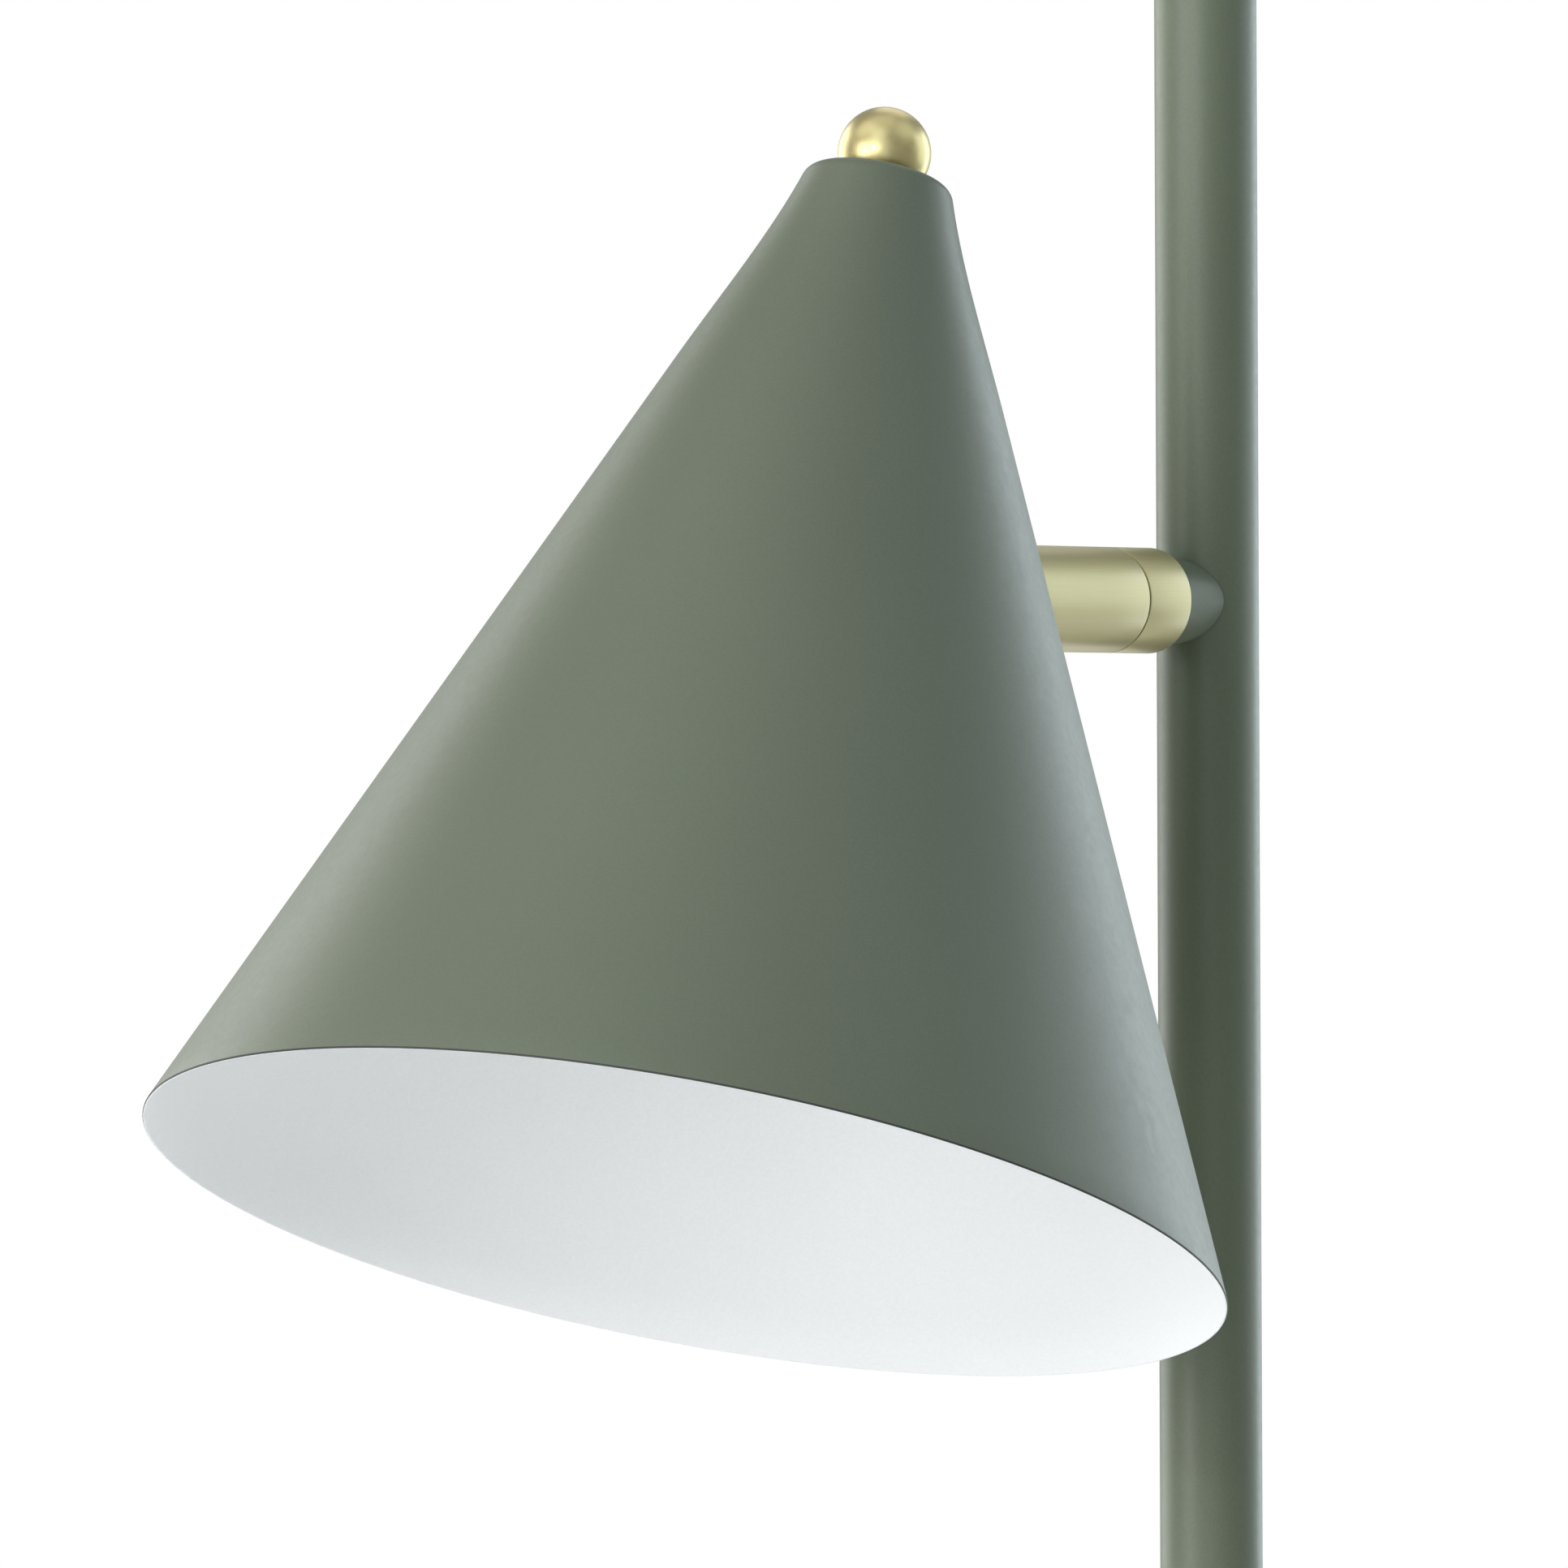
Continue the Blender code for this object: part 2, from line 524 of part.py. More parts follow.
# ================================================================ fixed half of the arm
def make_arm():
    stub = turned("arm_stub", ring(STUB_RADIUS, STUB_BORE, 0.0, STUB_END), ARM_FRAME, "sage_paint", FINE)
    saddle_low = ARM_HEIGHT - POLE_RADIUS * 2.0
    saddle_high = ARM_HEIGHT + POLE_RADIUS * 2.0
    cut(stub, drill("pole_saddle", POLE_RADIUS + GAP, saddle_low, saddle_high, FLOOR_FRAME, FINE))
    turned("stub_insert", ring(STUB_BORE - GAP, THREAD_CLEARANCE, STUB_INSERT_START, STUB_END),
           ARM_FRAME, "zinc_steel")
    turned("swivel_nipple", ring(THREAD_RADIUS, LEAD_BORE, ARM_NIPPLE_START, ARM_NIPPLE_END),
           ARM_FRAME, "zinc_steel")

    recess_floor = RING_END - RECESS_DEPTH
    ring_outline = [
        (RECESS_RADIUS, RING_END),
        (BRASS_RADIUS - BRASS_EDGE, RING_END),
        (BRASS_RADIUS, RING_END - BRASS_EDGE),
        (BRASS_RADIUS, STUB_END + GAP + BRASS_EDGE),
        (BRASS_RADIUS - BRASS_EDGE, STUB_END + GAP),
        (THREAD_CLEARANCE, STUB_END + GAP),
        (THREAD_CLEARANCE, recess_floor),
        (RECESS_RADIUS, recess_floor),
    ]
    brass_ring = turned("swivel_ring", ring_outline, ARM_FRAME, "satin_brass", FINE)
    pin_start = RING_END - STOP_PIN_SEAT
    pin_frame = make_frame("fixed_stop_axis", (0.0, STOP_CIRCLE, 0.0), 0.0, ARM_FRAME)
    pin_hole_end = RING_END + OVERSHOOT
    cut(brass_ring, drill("fixed_stop_hole", STOP_RADIUS + GAP, pin_start, pin_hole_end, pin_frame, COARSE))
    turned("stop_pin_fixed", ring(STOP_RADIUS, 0.0, pin_start + GAP, SLEEVE_START + STOP_PIN_REACH),
           pin_frame, "zinc_steel", COARSE)
    friction_outline = ring(RECESS_RADIUS - GAP, THREAD_CLEARANCE, recess_floor + GAP, SLEEVE_START - GAP)
    turned("friction_washer", friction_outline, ARM_FRAME, "nylon")

    web_end = SLEEVE_START + SLEEVE_WEB
    washer_end = web_end + GAP + WAVE_WASHER_THICKNESS
    turned("wave_washer", ring(WAVE_WASHER_RADIUS, THREAD_CLEARANCE, web_end + GAP, washer_end),
           ARM_FRAME, "zinc_steel")
    for index, name in enumerate(("swivel_nut", "swivel_lock_nut")):
        hex_nut(name, washer_end + GAP + index * (NUT_THICKNESS + GAP), NUT_THICKNESS, ARM_FRAME)


def make_pole_lead():
    """The lead from the terminal block, under the weight, up the pole and out to the swivel plane."""
    terminal_face = TERMINAL_CENTRE.y - TERMINAL_SIZE.y / 2.0 - GAP
    points = [
        (0.0, terminal_face, 0.0062),
        (0.0, 0.060, 0.0056),
        (0.0, 0.024, 0.0050),
        (0.0, 0.0125, 0.0050),
        (0.0, 0.0052, 0.0066),
        (0.0, 0.0010, 0.0112),
        (0.0, 0.0, 0.0200),
        (0.0, 0.0, 0.0700),
        (0.0, 0.0, POLE_SPLIT),
        (0.0, 0.0030, ARM_HEIGHT - 0.080),
        (0.0, 0.0045, ARM_HEIGHT - 0.030),
        (0.0, 0.0030, ARM_HEIGHT - 0.0120),
        (0.0, -0.0035, ARM_HEIGHT - 0.0026),
        (0.0, -0.0125, ARM_HEIGHT),
        (0.0, -0.0220, ARM_HEIGHT),
        (0.0, -SEAM + GAP / 2.0, ARM_HEIGHT),
    ]
    lead("pole_lead", points, [2, 2, 2, 3, 4, 2, 1, 2, 2, 2, 3, 4, 3, 2, 1], FLOOR_FRAME)


# ================================================================ moving half of the arm
def make_head_arm():
    web_end = SLEEVE_START + SLEEVE_WEB
    sleeve_end = ARM_REACH
    outline = [
        (SLEEVE_BORE, sleeve_end),
        (BRASS_RADIUS, sleeve_end),
        (BRASS_RADIUS, SLEEVE_START + BRASS_EDGE),
        (BRASS_RADIUS - BRASS_EDGE, SLEEVE_START),
        (STOP_CIRCLE + STOP_GROOVE, SLEEVE_START),
        (STOP_CIRCLE + STOP_GROOVE, SLEEVE_START + STOP_GROOVE_DEPTH),
        (STOP_CIRCLE - STOP_GROOVE, SLEEVE_START + STOP_GROOVE_DEPTH),
        (STOP_CIRCLE - STOP_GROOVE, SLEEVE_START),
        (THREAD_CLEARANCE, SLEEVE_START),
        (THREAD_CLEARANCE, web_end),
        (SLEEVE_BORE, web_end),
    ]
    sleeve = turned("swivel_sleeve", outline, HEAD_ARM_FRAME, "satin_brass", FINE)
    cut(sleeve, turned("shade_envelope", envelope_outline(GAP), SHADE_FRAME, steps=EXTRA_FINE))

    pin_frame = make_frame("moving_stop_axis", (0.0, -STOP_CIRCLE, 0.0), 0.0, HEAD_ARM_FRAME)
    pin_end = SLEEVE_START + STOP_GROOVE_DEPTH + MOVING_PIN_SEAT
    pin_hole_start = SLEEVE_START - OVERSHOOT
    cut(sleeve, drill("moving_stop_hole", STOP_RADIUS + GAP, pin_hole_start, pin_end, pin_frame, COARSE))
    turned("stop_pin_moving", ring(STOP_RADIUS, 0.0, SLEEVE_START + GAP, pin_end - GAP),
           pin_frame, "zinc_steel", COARSE)

    turned("sleeve_plug",
           ring(SLEEVE_BORE - GAP, THREAD_CLEARANCE, SLEEVE_PLUG_START, SLEEVE_PLUG_END, SMALL_EDGE),
           HEAD_ARM_FRAME, "zinc_steel")
    turned("shade_nipple", ring(THREAD_RADIUS, LEAD_BORE, SHADE_NIPPLE_START, SHADE_NIPPLE_END),
           HEAD_ARM_FRAME, "zinc_steel")
    saddle = turned("saddle_washer", ring(SADDLE_RADIUS, THREAD_CLEARANCE, SADDLE_BLANK_START, SADDLE_FACE),
                    HEAD_ARM_FRAME, "zinc_steel")
    lining = turned("shade_lining", envelope_outline(-SHADE_SHEET - GAP), SHADE_FRAME, steps=EXTRA_FINE)
    cut(saddle, lining, operation="INTERSECT")
    hex_nut("shade_nut", SADDLE_FACE + GAP, NUT_THICKNESS, HEAD_ARM_FRAME)

    bush_seat = SHADE_NIPPLE_END + GAP
    bush_outline = [
        (BUSH_BORE, bush_seat + BUSH_FLANGE),
        (THREAD_RADIUS - SMALL_EDGE, bush_seat + BUSH_FLANGE),
        (THREAD_RADIUS, bush_seat + BUSH_FLANGE - SMALL_EDGE),
        (THREAD_RADIUS, bush_seat),
        (LEAD_BORE - GAP, bush_seat),
        (LEAD_BORE - GAP, bush_seat - BUSH_DEPTH),
        (BUSH_BORE, bush_seat - BUSH_DEPTH),
    ]
    turned("lead_bush", bush_outline, HEAD_ARM_FRAME, "black_plastic", COARSE)


# ================================================================ shade
def wall_radius(height):
    """Outer radius of the cone, with the gentle waist that it has under the shoulder."""
    cone = SHADE_RADIUS - height * math.tan(CONE_ANGLE)
    if height <= WAIST_START:
        return cone
    rise = (height - WAIST_START) / (SHADE_HEIGHT - WAIST_START)
    return cone + WAIST_DEPTH * rise ** 2 * (rise - WAIST_CROSSING)


def shoulder_outline():
    """The rounded shoulder between the flat top and the wall, top to bottom."""
    wall_height = SHADE_HEIGHT - SHOULDER_RADIUS * (1.0 - math.sin(SHOULDER_WALL_ANGLE))
    centre_radius = wall_radius(wall_height) - SHOULDER_RADIUS * math.cos(SHOULDER_WALL_ANGLE)
    centre = (centre_radius, SHADE_HEIGHT - SHOULDER_RADIUS)
    return arc(centre, SHOULDER_RADIUS, 90.0, math.degrees(SHOULDER_WALL_ANGLE), 3)


def shade_outline():
    """The shade's outer face from the hole in its top down to the opening."""
    outline = [(THREAD_CLEARANCE, SHADE_HEIGHT)] + shoulder_outline()
    wall_top = outline[-1][1]
    waist_steps = 5
    for index in range(1, waist_steps + 1):
        height = wall_top + (WAIST_START - wall_top) * index / waist_steps
        outline.append((wall_radius(height), height))
    for height in (WAIST_START / 2.0, 0.0):
        outline.append((wall_radius(height), height))
    return outline


def envelope_outline(offset):
    """A solid cone that lies the offset outside the shade's straight wall."""
    grow = offset / math.cos(CONE_ANGLE)
    top = WAIST_START + ENVELOPE_RISE
    return [
        (0.0, top),
        (SHADE_RADIUS - top * math.tan(CONE_ANGLE) + grow, top),
        (SHADE_RADIUS + grow, 0.0),
        (0.0, 0.0),
    ]


def make_shade():
    shade = turned("shade", shade_outline(), SHADE_FRAME, "sage_paint", EXTRA_FINE, SHADE_SHEET)
    cut(shade, drill("shade_side_hole", THREAD_CLEARANCE, SLEEVE_PLUG_END, SADDLE_FACE, HEAD_ARM_FRAME))

    centre = SHADE_HEIGHT + GAP + FINIAL_SEAT
    thread_top = centre - 2.0 * GAP
    outline = ball_outline(centre)
    outline += [(THREAD_CLEARANCE, centre - FINIAL_SEAT), (THREAD_CLEARANCE, thread_top), (0.0, thread_top)]
    turned("shade_finial", outline, SHADE_FRAME, "satin_brass", FINE)
    turned("holder_nipple", ring(THREAD_RADIUS, LEAD_BORE, HOLDER_NIPPLE_BOTTOM, thread_top - GAP),
           SHADE_FRAME, "zinc_steel")
    washer_top = SHADE_HEIGHT - SHADE_SHEET - GAP
    washer_bottom = washer_top - WASHER_THICKNESS
    turned("holder_washer", ring(HOLDER_WASHER_RADIUS, THREAD_CLEARANCE, washer_bottom, washer_top),
           SHADE_FRAME, "zinc_steel")
    hex_nut("holder_nut", washer_bottom - GAP - HOLDER_NUT_THICKNESS, HOLDER_NUT_THICKNESS, SHADE_FRAME)


# ================================================================ lampholder and bulb
def make_lampholder():
    dome_centre = (HOLDER_DOME_RADIUS, HOLDER_DOME_HEIGHT)
    cap_outline = [(THREAD_CLEARANCE, HOLDER_CAP_TOP), (HOLDER_NECK_RADIUS, HOLDER_CAP_TOP)]
    cap_outline.append((HOLDER_NECK_RADIUS, HOLDER_NECK_BOTTOM))
    cap_outline += arc(dome_centre, HOLDER_RADIUS - dome_centre[0], 80.0, 0.0, 5)
    cap_outline += [(HOLDER_RADIUS, HOLDER_CAP_BOTTOM), (HOLDER_BORE, HOLDER_CAP_BOTTOM)]
    cap_outline.append((HOLDER_BORE, HOLDER_DOME_HEIGHT))
    inner_dome = arc(dome_centre, HOLDER_BORE - dome_centre[0], 0.0, 75.0, 4)[1:]
    cap_outline += inner_dome + [(THREAD_CLEARANCE, inner_dome[-1][1])]
    cap = turned("holder_cap", cap_outline, SHADE_FRAME, "white_plastic")
    entry = (0.0, HOLDER_DOME_RADIUS, LEAD_ENTRY_HEIGHT)
    cut(cap, cross_drill("lead_entry", LEAD_RADIUS + 2.0 * GAP, entry, HOLDER_RADIUS, SHADE_FRAME, COARSE))

    turned("holder_body", ring(HOLDER_RADIUS, HOLDER_BORE, HOLDER_MOUTH, HOLDER_CAP_BOTTOM - GAP, SMALL_EDGE),
           SHADE_FRAME, "white_plastic", FINE)
    turned("holder_insert", [(0.0, INSERT_TOP), (INSERT_RADIUS, INSERT_TOP), (INSERT_RADIUS, INSERT_BOTTOM),
                             (0.0, INSERT_BOTTOM)], SHADE_FRAME, "porcelain")
    turned("holder_screw_shell", thread_outline(SHELL_RADIUS, SHELL_BORE, SHELL_BOTTOM, INSERT_BOTTOM - GAP),
           SHADE_FRAME, "nickel")
    contact_top = INSERT_BOTTOM - GAP
    contact_bottom = BULB_BASE_TOP + CONTACT_TRAVEL
    contact_outline = [
        (0.0, contact_top),
        (BULB_TIP_RADIUS, contact_top),
        (BULB_TIP_RADIUS, contact_top - LARGE_EDGE),
        (BULB_TIP_RADIUS / 2.0, contact_bottom),
        (0.0, contact_bottom),
    ]
    turned("holder_contact", contact_outline, SHADE_FRAME, "nickel", COARSE)


def thread_outline(outer, inner, low, high):
    """A thin sleeve rolled into the rounded ridges of a lamp thread."""
    steps = THREAD_RIDGES * 2
    outside = []
    inside = []
    for index in range(steps + 1):
        height = high + (low - high) * index / steps
        wave = THREAD_DEPTH * (math.cos(2.0 * math.pi * THREAD_RIDGES * index / steps) - 1.0) / 2.0
        outside.append((outer + wave, height))
        inside.append((inner + wave, height))
    return outside + inside[::-1]


def make_bulb():
    """A pear-shaped opal bulb with its screw cap; both are open where they meet."""
    top = BULB_BASE_TOP
    collar = top - BULB_COLLAR_DROP
    thread = thread_outline(BULB_BASE_RADIUS, BULB_BASE_RADIUS - BULB_BASE_WALL, BULB_BASE_BOTTOM, collar)
    outline = [(0.0, top), (BULB_TIP_RADIUS, top), (BULB_TIP_RADIUS + SMALL_EDGE, top - LARGE_EDGE)]
    outline.append((BULB_INSULATOR_RADIUS, top - BULB_INSULATOR_DROP))
    floor = collar - BULB_COLLAR_DEPTH
    outline += thread[:-1] + [(BULB_INSULATOR_RADIUS, floor), (0.0, floor)]
    turned("bulb_base", outline, SHADE_FRAME, "nickel")

    blend_radius = BULB_NECK_RADIUS + BULB_BLEND_RADIUS
    blend_rise = math.sqrt((BULB_RADIUS + BULB_BLEND_RADIUS) ** 2 - blend_radius ** 2)
    blend_angle = math.degrees(math.atan2(blend_rise, blend_radius))
    outline = [(BULB_NECK_RADIUS, BULB_NECK_END)]
    outline += arc((blend_radius, BULB_CENTRE + blend_rise), BULB_BLEND_RADIUS, 180.0, 180.0 + blend_angle, 4)
    outline += arc((0.0, BULB_CENTRE), BULB_RADIUS, blend_angle, -90.0, 8)[1:-1]
    outline.append((0.0, BULB_CENTRE - BULB_RADIUS))
    turned("bulb_globe", outline, SHADE_FRAME, "opal_glass", MEDIUM, BULB_SHEET)


def make_head_lead():
    """The lead from the swivel plane, through the shade's wall and up to the holder's cap."""
    world_points = [
        Vector((0.0, -SEAM - GAP / 2.0, ARM_HEIGHT)),
        Vector((0.0, -0.0700, ARM_HEIGHT)),
        Vector((0.0, -SHADE_NIPPLE_START, ARM_HEIGHT)),
        Vector((0.0, -0.1276, ARM_HEIGHT)),
        shade_point(0.0345, 0.1705),
        shade_point(0.0310, 0.1810),
        shade_point(0.0310, 0.1950),
        shade_point(0.0300, 0.2080),
        shade_point(0.0270, 0.2200),
        shade_point(0.0215, LEAD_ENTRY_HEIGHT),
        shade_point(0.0112, LEAD_ENTRY_HEIGHT),
    ]
    points = [point - SWIVEL_POINT for point in world_points]
    lead("head_lead", points, [1, 1, 2, 3, 3, 3, 3, 3, 3, 2], SWIVEL_FRAME)


# ================================================================ finishing
def bake_modifiers():
    """Turn each part's modifiers into its mesh, shaded smooth between its sharp edges."""
    bpy.context.view_layer.update()
    depsgraph = bpy.context.evaluated_depsgraph_get()
    pieces = [piece for piece in PARTS.objects if piece.type == "MESH"]
    baked = {}
    for piece in pieces:
        baked[piece] = bpy.data.meshes.new_from_object(piece.evaluated_get(depsgraph))
    for piece, mesh in baked.items():
        mesh.shade_smooth()
        mesh.set_sharp_from_angle(angle=SHARP_ANGLE)
        mesh.name = piece.name
        piece.modifiers.clear()
        piece.data = mesh


make_base()
make_pole()
make_arm()
make_pole_lead()
make_head_arm()
make_shade()
make_lampholder()
make_bulb()
make_head_lead()
bake_modifiers()
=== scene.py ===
"""Looks of the adjustable arm floor lamp: fine surfaces, finishes, lights and camera, all in metres."""
import math
import bmesh
import bpy
from mathutils import Matrix, Vector


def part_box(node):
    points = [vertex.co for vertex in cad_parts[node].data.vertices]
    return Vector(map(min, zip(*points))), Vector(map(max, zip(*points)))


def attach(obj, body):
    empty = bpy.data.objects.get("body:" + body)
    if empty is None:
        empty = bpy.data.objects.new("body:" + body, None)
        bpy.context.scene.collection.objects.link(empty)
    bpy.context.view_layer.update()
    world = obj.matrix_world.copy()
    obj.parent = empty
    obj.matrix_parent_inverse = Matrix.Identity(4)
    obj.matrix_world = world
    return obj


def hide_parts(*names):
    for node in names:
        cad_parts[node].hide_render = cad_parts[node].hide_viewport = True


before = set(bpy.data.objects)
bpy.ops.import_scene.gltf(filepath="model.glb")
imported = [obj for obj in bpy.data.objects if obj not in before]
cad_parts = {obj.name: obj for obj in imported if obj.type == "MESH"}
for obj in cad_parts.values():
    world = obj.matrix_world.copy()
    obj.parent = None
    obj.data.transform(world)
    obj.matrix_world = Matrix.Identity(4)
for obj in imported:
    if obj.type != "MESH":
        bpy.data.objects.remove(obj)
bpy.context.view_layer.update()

# ================================================================ sizes read from the frame
def middle(node, axis):
    low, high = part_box(node)
    return (low[axis] + high[axis]) / 2.0


def half_size(node, axis):
    low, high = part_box(node)
    return (high[axis] - low[axis]) / 2.0


ARM_HEIGHT = middle("swivel_ring", 2)
POLE_RADIUS = half_size("pole_upper", 0)
STUB_RADIUS = half_size("arm_stub", 0)
STUB_END = -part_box("arm_stub")[0][1]
BRASS_RADIUS = half_size("swivel_ring", 0)
RING_START = -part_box("swivel_ring")[1][1]
RING_END = -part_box("swivel_ring")[0][1]
SLEEVE_START = -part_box("swivel_sleeve")[1][1]
BASE_RADIUS = half_size("base_cover", 0)
BASE_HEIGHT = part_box("base_cover")[1][2]
COVER_RIM_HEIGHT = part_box("base_cover")[0][2]

# ================================================================ sizes that the solids share
GAP = 0.0003
POLE_WALL = 0.0015
PLUG_HOLE_RADIUS = 0.003
NIPPLE_HOLE = 0.0053
SLEEVE_BORE = 0.0095
SLEEVE_WEB = 0.0072
SHADE_RADIUS = 0.130
SHADE_HEIGHT = 0.259
SHADE_SHEET = 0.0012
SHADE_TILT = math.radians(18.1)
CONE_ANGLE = math.radians(23.7)
ARM_REACH = 0.1693
SHADE_DROP = 0.1543
SHOULDER_RADIUS = 0.004
SHOULDER_WALL_ANGLE = math.radians(18.0)
WAIST_START = 0.2056
WAIST_DEPTH = 0.0055
WAIST_CROSSING = 0.79
FINIAL_RADIUS = 0.0112
FINIAL_SEAT = 0.0068
FINIAL_STUD_RADIUS = 0.0027
COVER_SHEET = 0.0015
BASE_EDGE_RADIUS = 0.006
GLAND_BORE = 0.0032
GLAND_RADIUS = 0.0040
SADDLE_FACE = 0.1182
SLEEVE_PLUG_END = 0.1040
HOLDER_RADIUS = 0.0195
HOLDER_BORE = 0.0172
HOLDER_CAP_TOP = 0.2500
HOLDER_CAP_BOTTOM = 0.2180
HOLDER_MOUTH = 0.1830
HOLDER_NECK_RADIUS = 0.0075
HOLDER_NECK_BOTTOM = 0.2395
HOLDER_DOME_RADIUS = 0.0085
HOLDER_DOME_HEIGHT = 0.2270
LEAD_ENTRY_HEIGHT = 0.2280
LEAD_ENTRY_RADIUS = 0.0022
BULB_RADIUS = 0.0300
BULB_CENTRE = 0.1240
BULB_NECK_RADIUS = 0.0128
BULB_NECK_TOP = 0.1740
BULB_BLEND = 0.040
GLASS_WALL = 0.001

# ================================================================ fine detail
BRASS_EDGE = 0.00024            # broken edge along the seam
JOINT_DEPTH = 0.00035           # fine groove round the foot of the stub, where it meets the pole
JOINT_WIDTH = 0.0005
STUB_EDGE = 0.0003
POLE_EDGE = 0.0002
FINIAL_SINK = 0.0007            # the ball sits this much lower than its CAD solid, as in the picture
SEAT_GROOVE_WIDTH = 0.0004      # fine groove where a ball lands on its seat
SEAT_GROOVE_DEPTH = 0.0001
EDGE_STEPS = 8                  # steps round the shade's edge, of which the outer ones carry painted shade
# number of outer edge steps painted near-black as painted shade
PAINTED_SHADE_STEPS = 4
EDGE_SHEET = 0.0007             # the shade's sheet is drawn thinner at its edge
TAPER_HEIGHT = 0.007            # height at which it starts to thin
GLAND_LIP = 0.0007
HOLDER_EDGE = 0.0006
HOLDER_GROOVES = 5
HOLDER_GROOVE_PITCH = 0.0022
HOLDER_GROOVE_DEPTH = 0.0004
HOLDER_GROOVE_WIDTH = 0.0016    # at the surface; the sides slope in by the depth
HOLDER_GROOVE_START = 0.006     # below the top of the skirt
ROUND_STEPS = 192
SMALL_STEPS = 96
BALL_STEPS = 128
BASE_STEPS = 256
BORE_STEPS = 64
SHOULDER_STEPS = 14
WAIST_STEPS = 26
WALL_STEPS = 16
SHARP_ANGLE = math.radians(32.0)

# ================================================================ places
ARM_FRAME = Matrix.Translation((0.0, 0.0, ARM_HEIGHT)) @ Matrix.Rotation(math.radians(90.0), 4, "X")
SHADE_CENTRE = Vector((0.0, -ARM_REACH - SHADE_DROP * math.sin(SHADE_TILT),
                       ARM_HEIGHT - SHADE_DROP * math.cos(SHADE_TILT)))
SHADE_FRAME = Matrix.Translation(SHADE_CENTRE) @ Matrix.Rotation(-SHADE_TILT, 4, "X")
GLAND_FRAME = (Matrix.Translation((0.0, BASE_RADIUS, middle("cord_gland", 2)))
               @ Matrix.Rotation(math.radians(-90.0), 4, "X"))


# ================================================================ outlines
def arc(centre, radius, start, end, count):
    """Points on an arc in a turned outline; the angles are degrees above the radial direction."""
    points = []
    for index in range(count + 1):
        angle = math.radians(start + (end - start) * index / count)
        points.append((centre[0] + radius * math.cos(angle), centre[1] + radius * math.sin(angle)))
    return points


def wall_radius(height):
    """Outer radius of the cone, with the gentle waist that it has under the shoulder."""
    cone = SHADE_RADIUS - height * math.tan(CONE_ANGLE)
    if height <= WAIST_START:
        return cone
    rise = (height - WAIST_START) / (SHADE_HEIGHT - WAIST_START)
    return cone + WAIST_DEPTH * rise ** 2 * (rise - WAIST_CROSSING)


def inside_of(outline, thickness, thickness_at=None):
    """The outline moved in, square to itself, by the thickness or by thickness_at its height."""
    moved = []
    for index, (radius, height) in enumerate(outline):
        if thickness_at:
            thickness = thickness_at(height)
        before = outline[max(index - 1, 0)]
        after = outline[min(index + 1, len(outline) - 1)]
        run = Vector((after[0] - before[0], after[1] - before[1])).normalized()
        moved.append((radius + run.y * thickness, height - run.x * thickness))
    return moved


def rounded_ring(outer, inner, low, high, edge, steps=4):
    """A ring's outline with rounded outer edges, down its outer side."""
    outside = arc((outer - edge, high - edge), edge, 90.0, 0.0, steps)
    outside += arc((outer - edge, low + edge), edge, 0.0, -90.0, steps)
    return [(inner, high)] + outside + [(inner, low)]


# ================================================================ meshes
def revolve(outline, steps, band_of=None):
    """A closed body turned about Z; band_of gives the material of the band under an outline point."""
    body = bmesh.new()
    rows = []
    for radius, height in outline:
        if radius < 1e-7:
            rows.append([body.verts.new((0.0, 0.0, height))] * steps)
            continue
        row = []
        for step in range(steps):
            angle = 2.0 * math.pi * step / steps
            row.append(body.verts.new((radius * math.cos(angle), radius * math.sin(angle), height)))
        rows.append(row)
    last = len(rows) if outline[0][0] > 0.0 else len(rows) - 1
    for index in range(last):
        stitch(body, rows[index], rows[(index + 1) % len(rows)], band_of(index) if band_of else 0)
    return body


def stitch(body, upper, lower, band=0):
    """A band of faces between two rows of the same length."""
    steps = len(upper)
    for step in range(steps):
        following = (step + 1) % steps
        corners = []
        for vertex in (upper[step], lower[step], lower[following], upper[following]):
            if vertex not in corners:
                corners.append(vertex)
        if len(corners) > 2:
            body.faces.new(corners).material_index = band


def add_piece(name, body, place, materials, rides_on, nodes):
    """Turn a bmesh into a piece that stands for its CAD nodes."""
    bmesh.ops.recalc_face_normals(body, faces=body.faces)
    body.transform(place)
    mesh = bpy.data.meshes.new(name)
    body.to_mesh(mesh)
    body.free()
    for material in materials:
        mesh.materials.append(material)
    mesh.shade_smooth()
    mesh.set_sharp_from_angle(angle=SHARP_ANGLE)
    piece = bpy.data.objects.new(name, mesh)
    bpy.context.scene.collection.objects.link(piece)
    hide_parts(*nodes)
    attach(piece, rides_on)
    return piece


def turned(name, outline, place, material, rides_on, nodes, steps=SMALL_STEPS):
    return add_piece(name, revolve(outline, steps), place, [material], rides_on, nodes)


def bore(piece, place, radius, low, high):
    """Cut a round hole in a piece, along the Z axis of the place."""
    body = bmesh.new()
    bmesh.ops.create_cone(body, cap_ends=True, segments=BORE_STEPS, radius1=radius, radius2=radius,
                          depth=high - low)
    body.transform(place @ Matrix.Translation((0.0, 0.0, (low + high) / 2.0)))
    mesh = bpy.data.meshes.new("borer")
    body.to_mesh(mesh)
    body.free()
    borer = bpy.data.objects.new("borer", mesh)
    bpy.context.scene.collection.objects.link(borer)
    cut = piece.modifiers.new("bore", "BOOLEAN")
    cut.operation = "DIFFERENCE"
    cut.object = borer
    bpy.context.view_layer.update()
    pierced = bpy.data.meshes.new_from_object(piece.evaluated_get(bpy.context.evaluated_depsgraph_get()))
    piece.modifiers.clear()
    piece.data = pierced
    pierced.set_sharp_from_angle(angle=SHARP_ANGLE)
    bpy.data.objects.remove(borer, do_unlink=True)


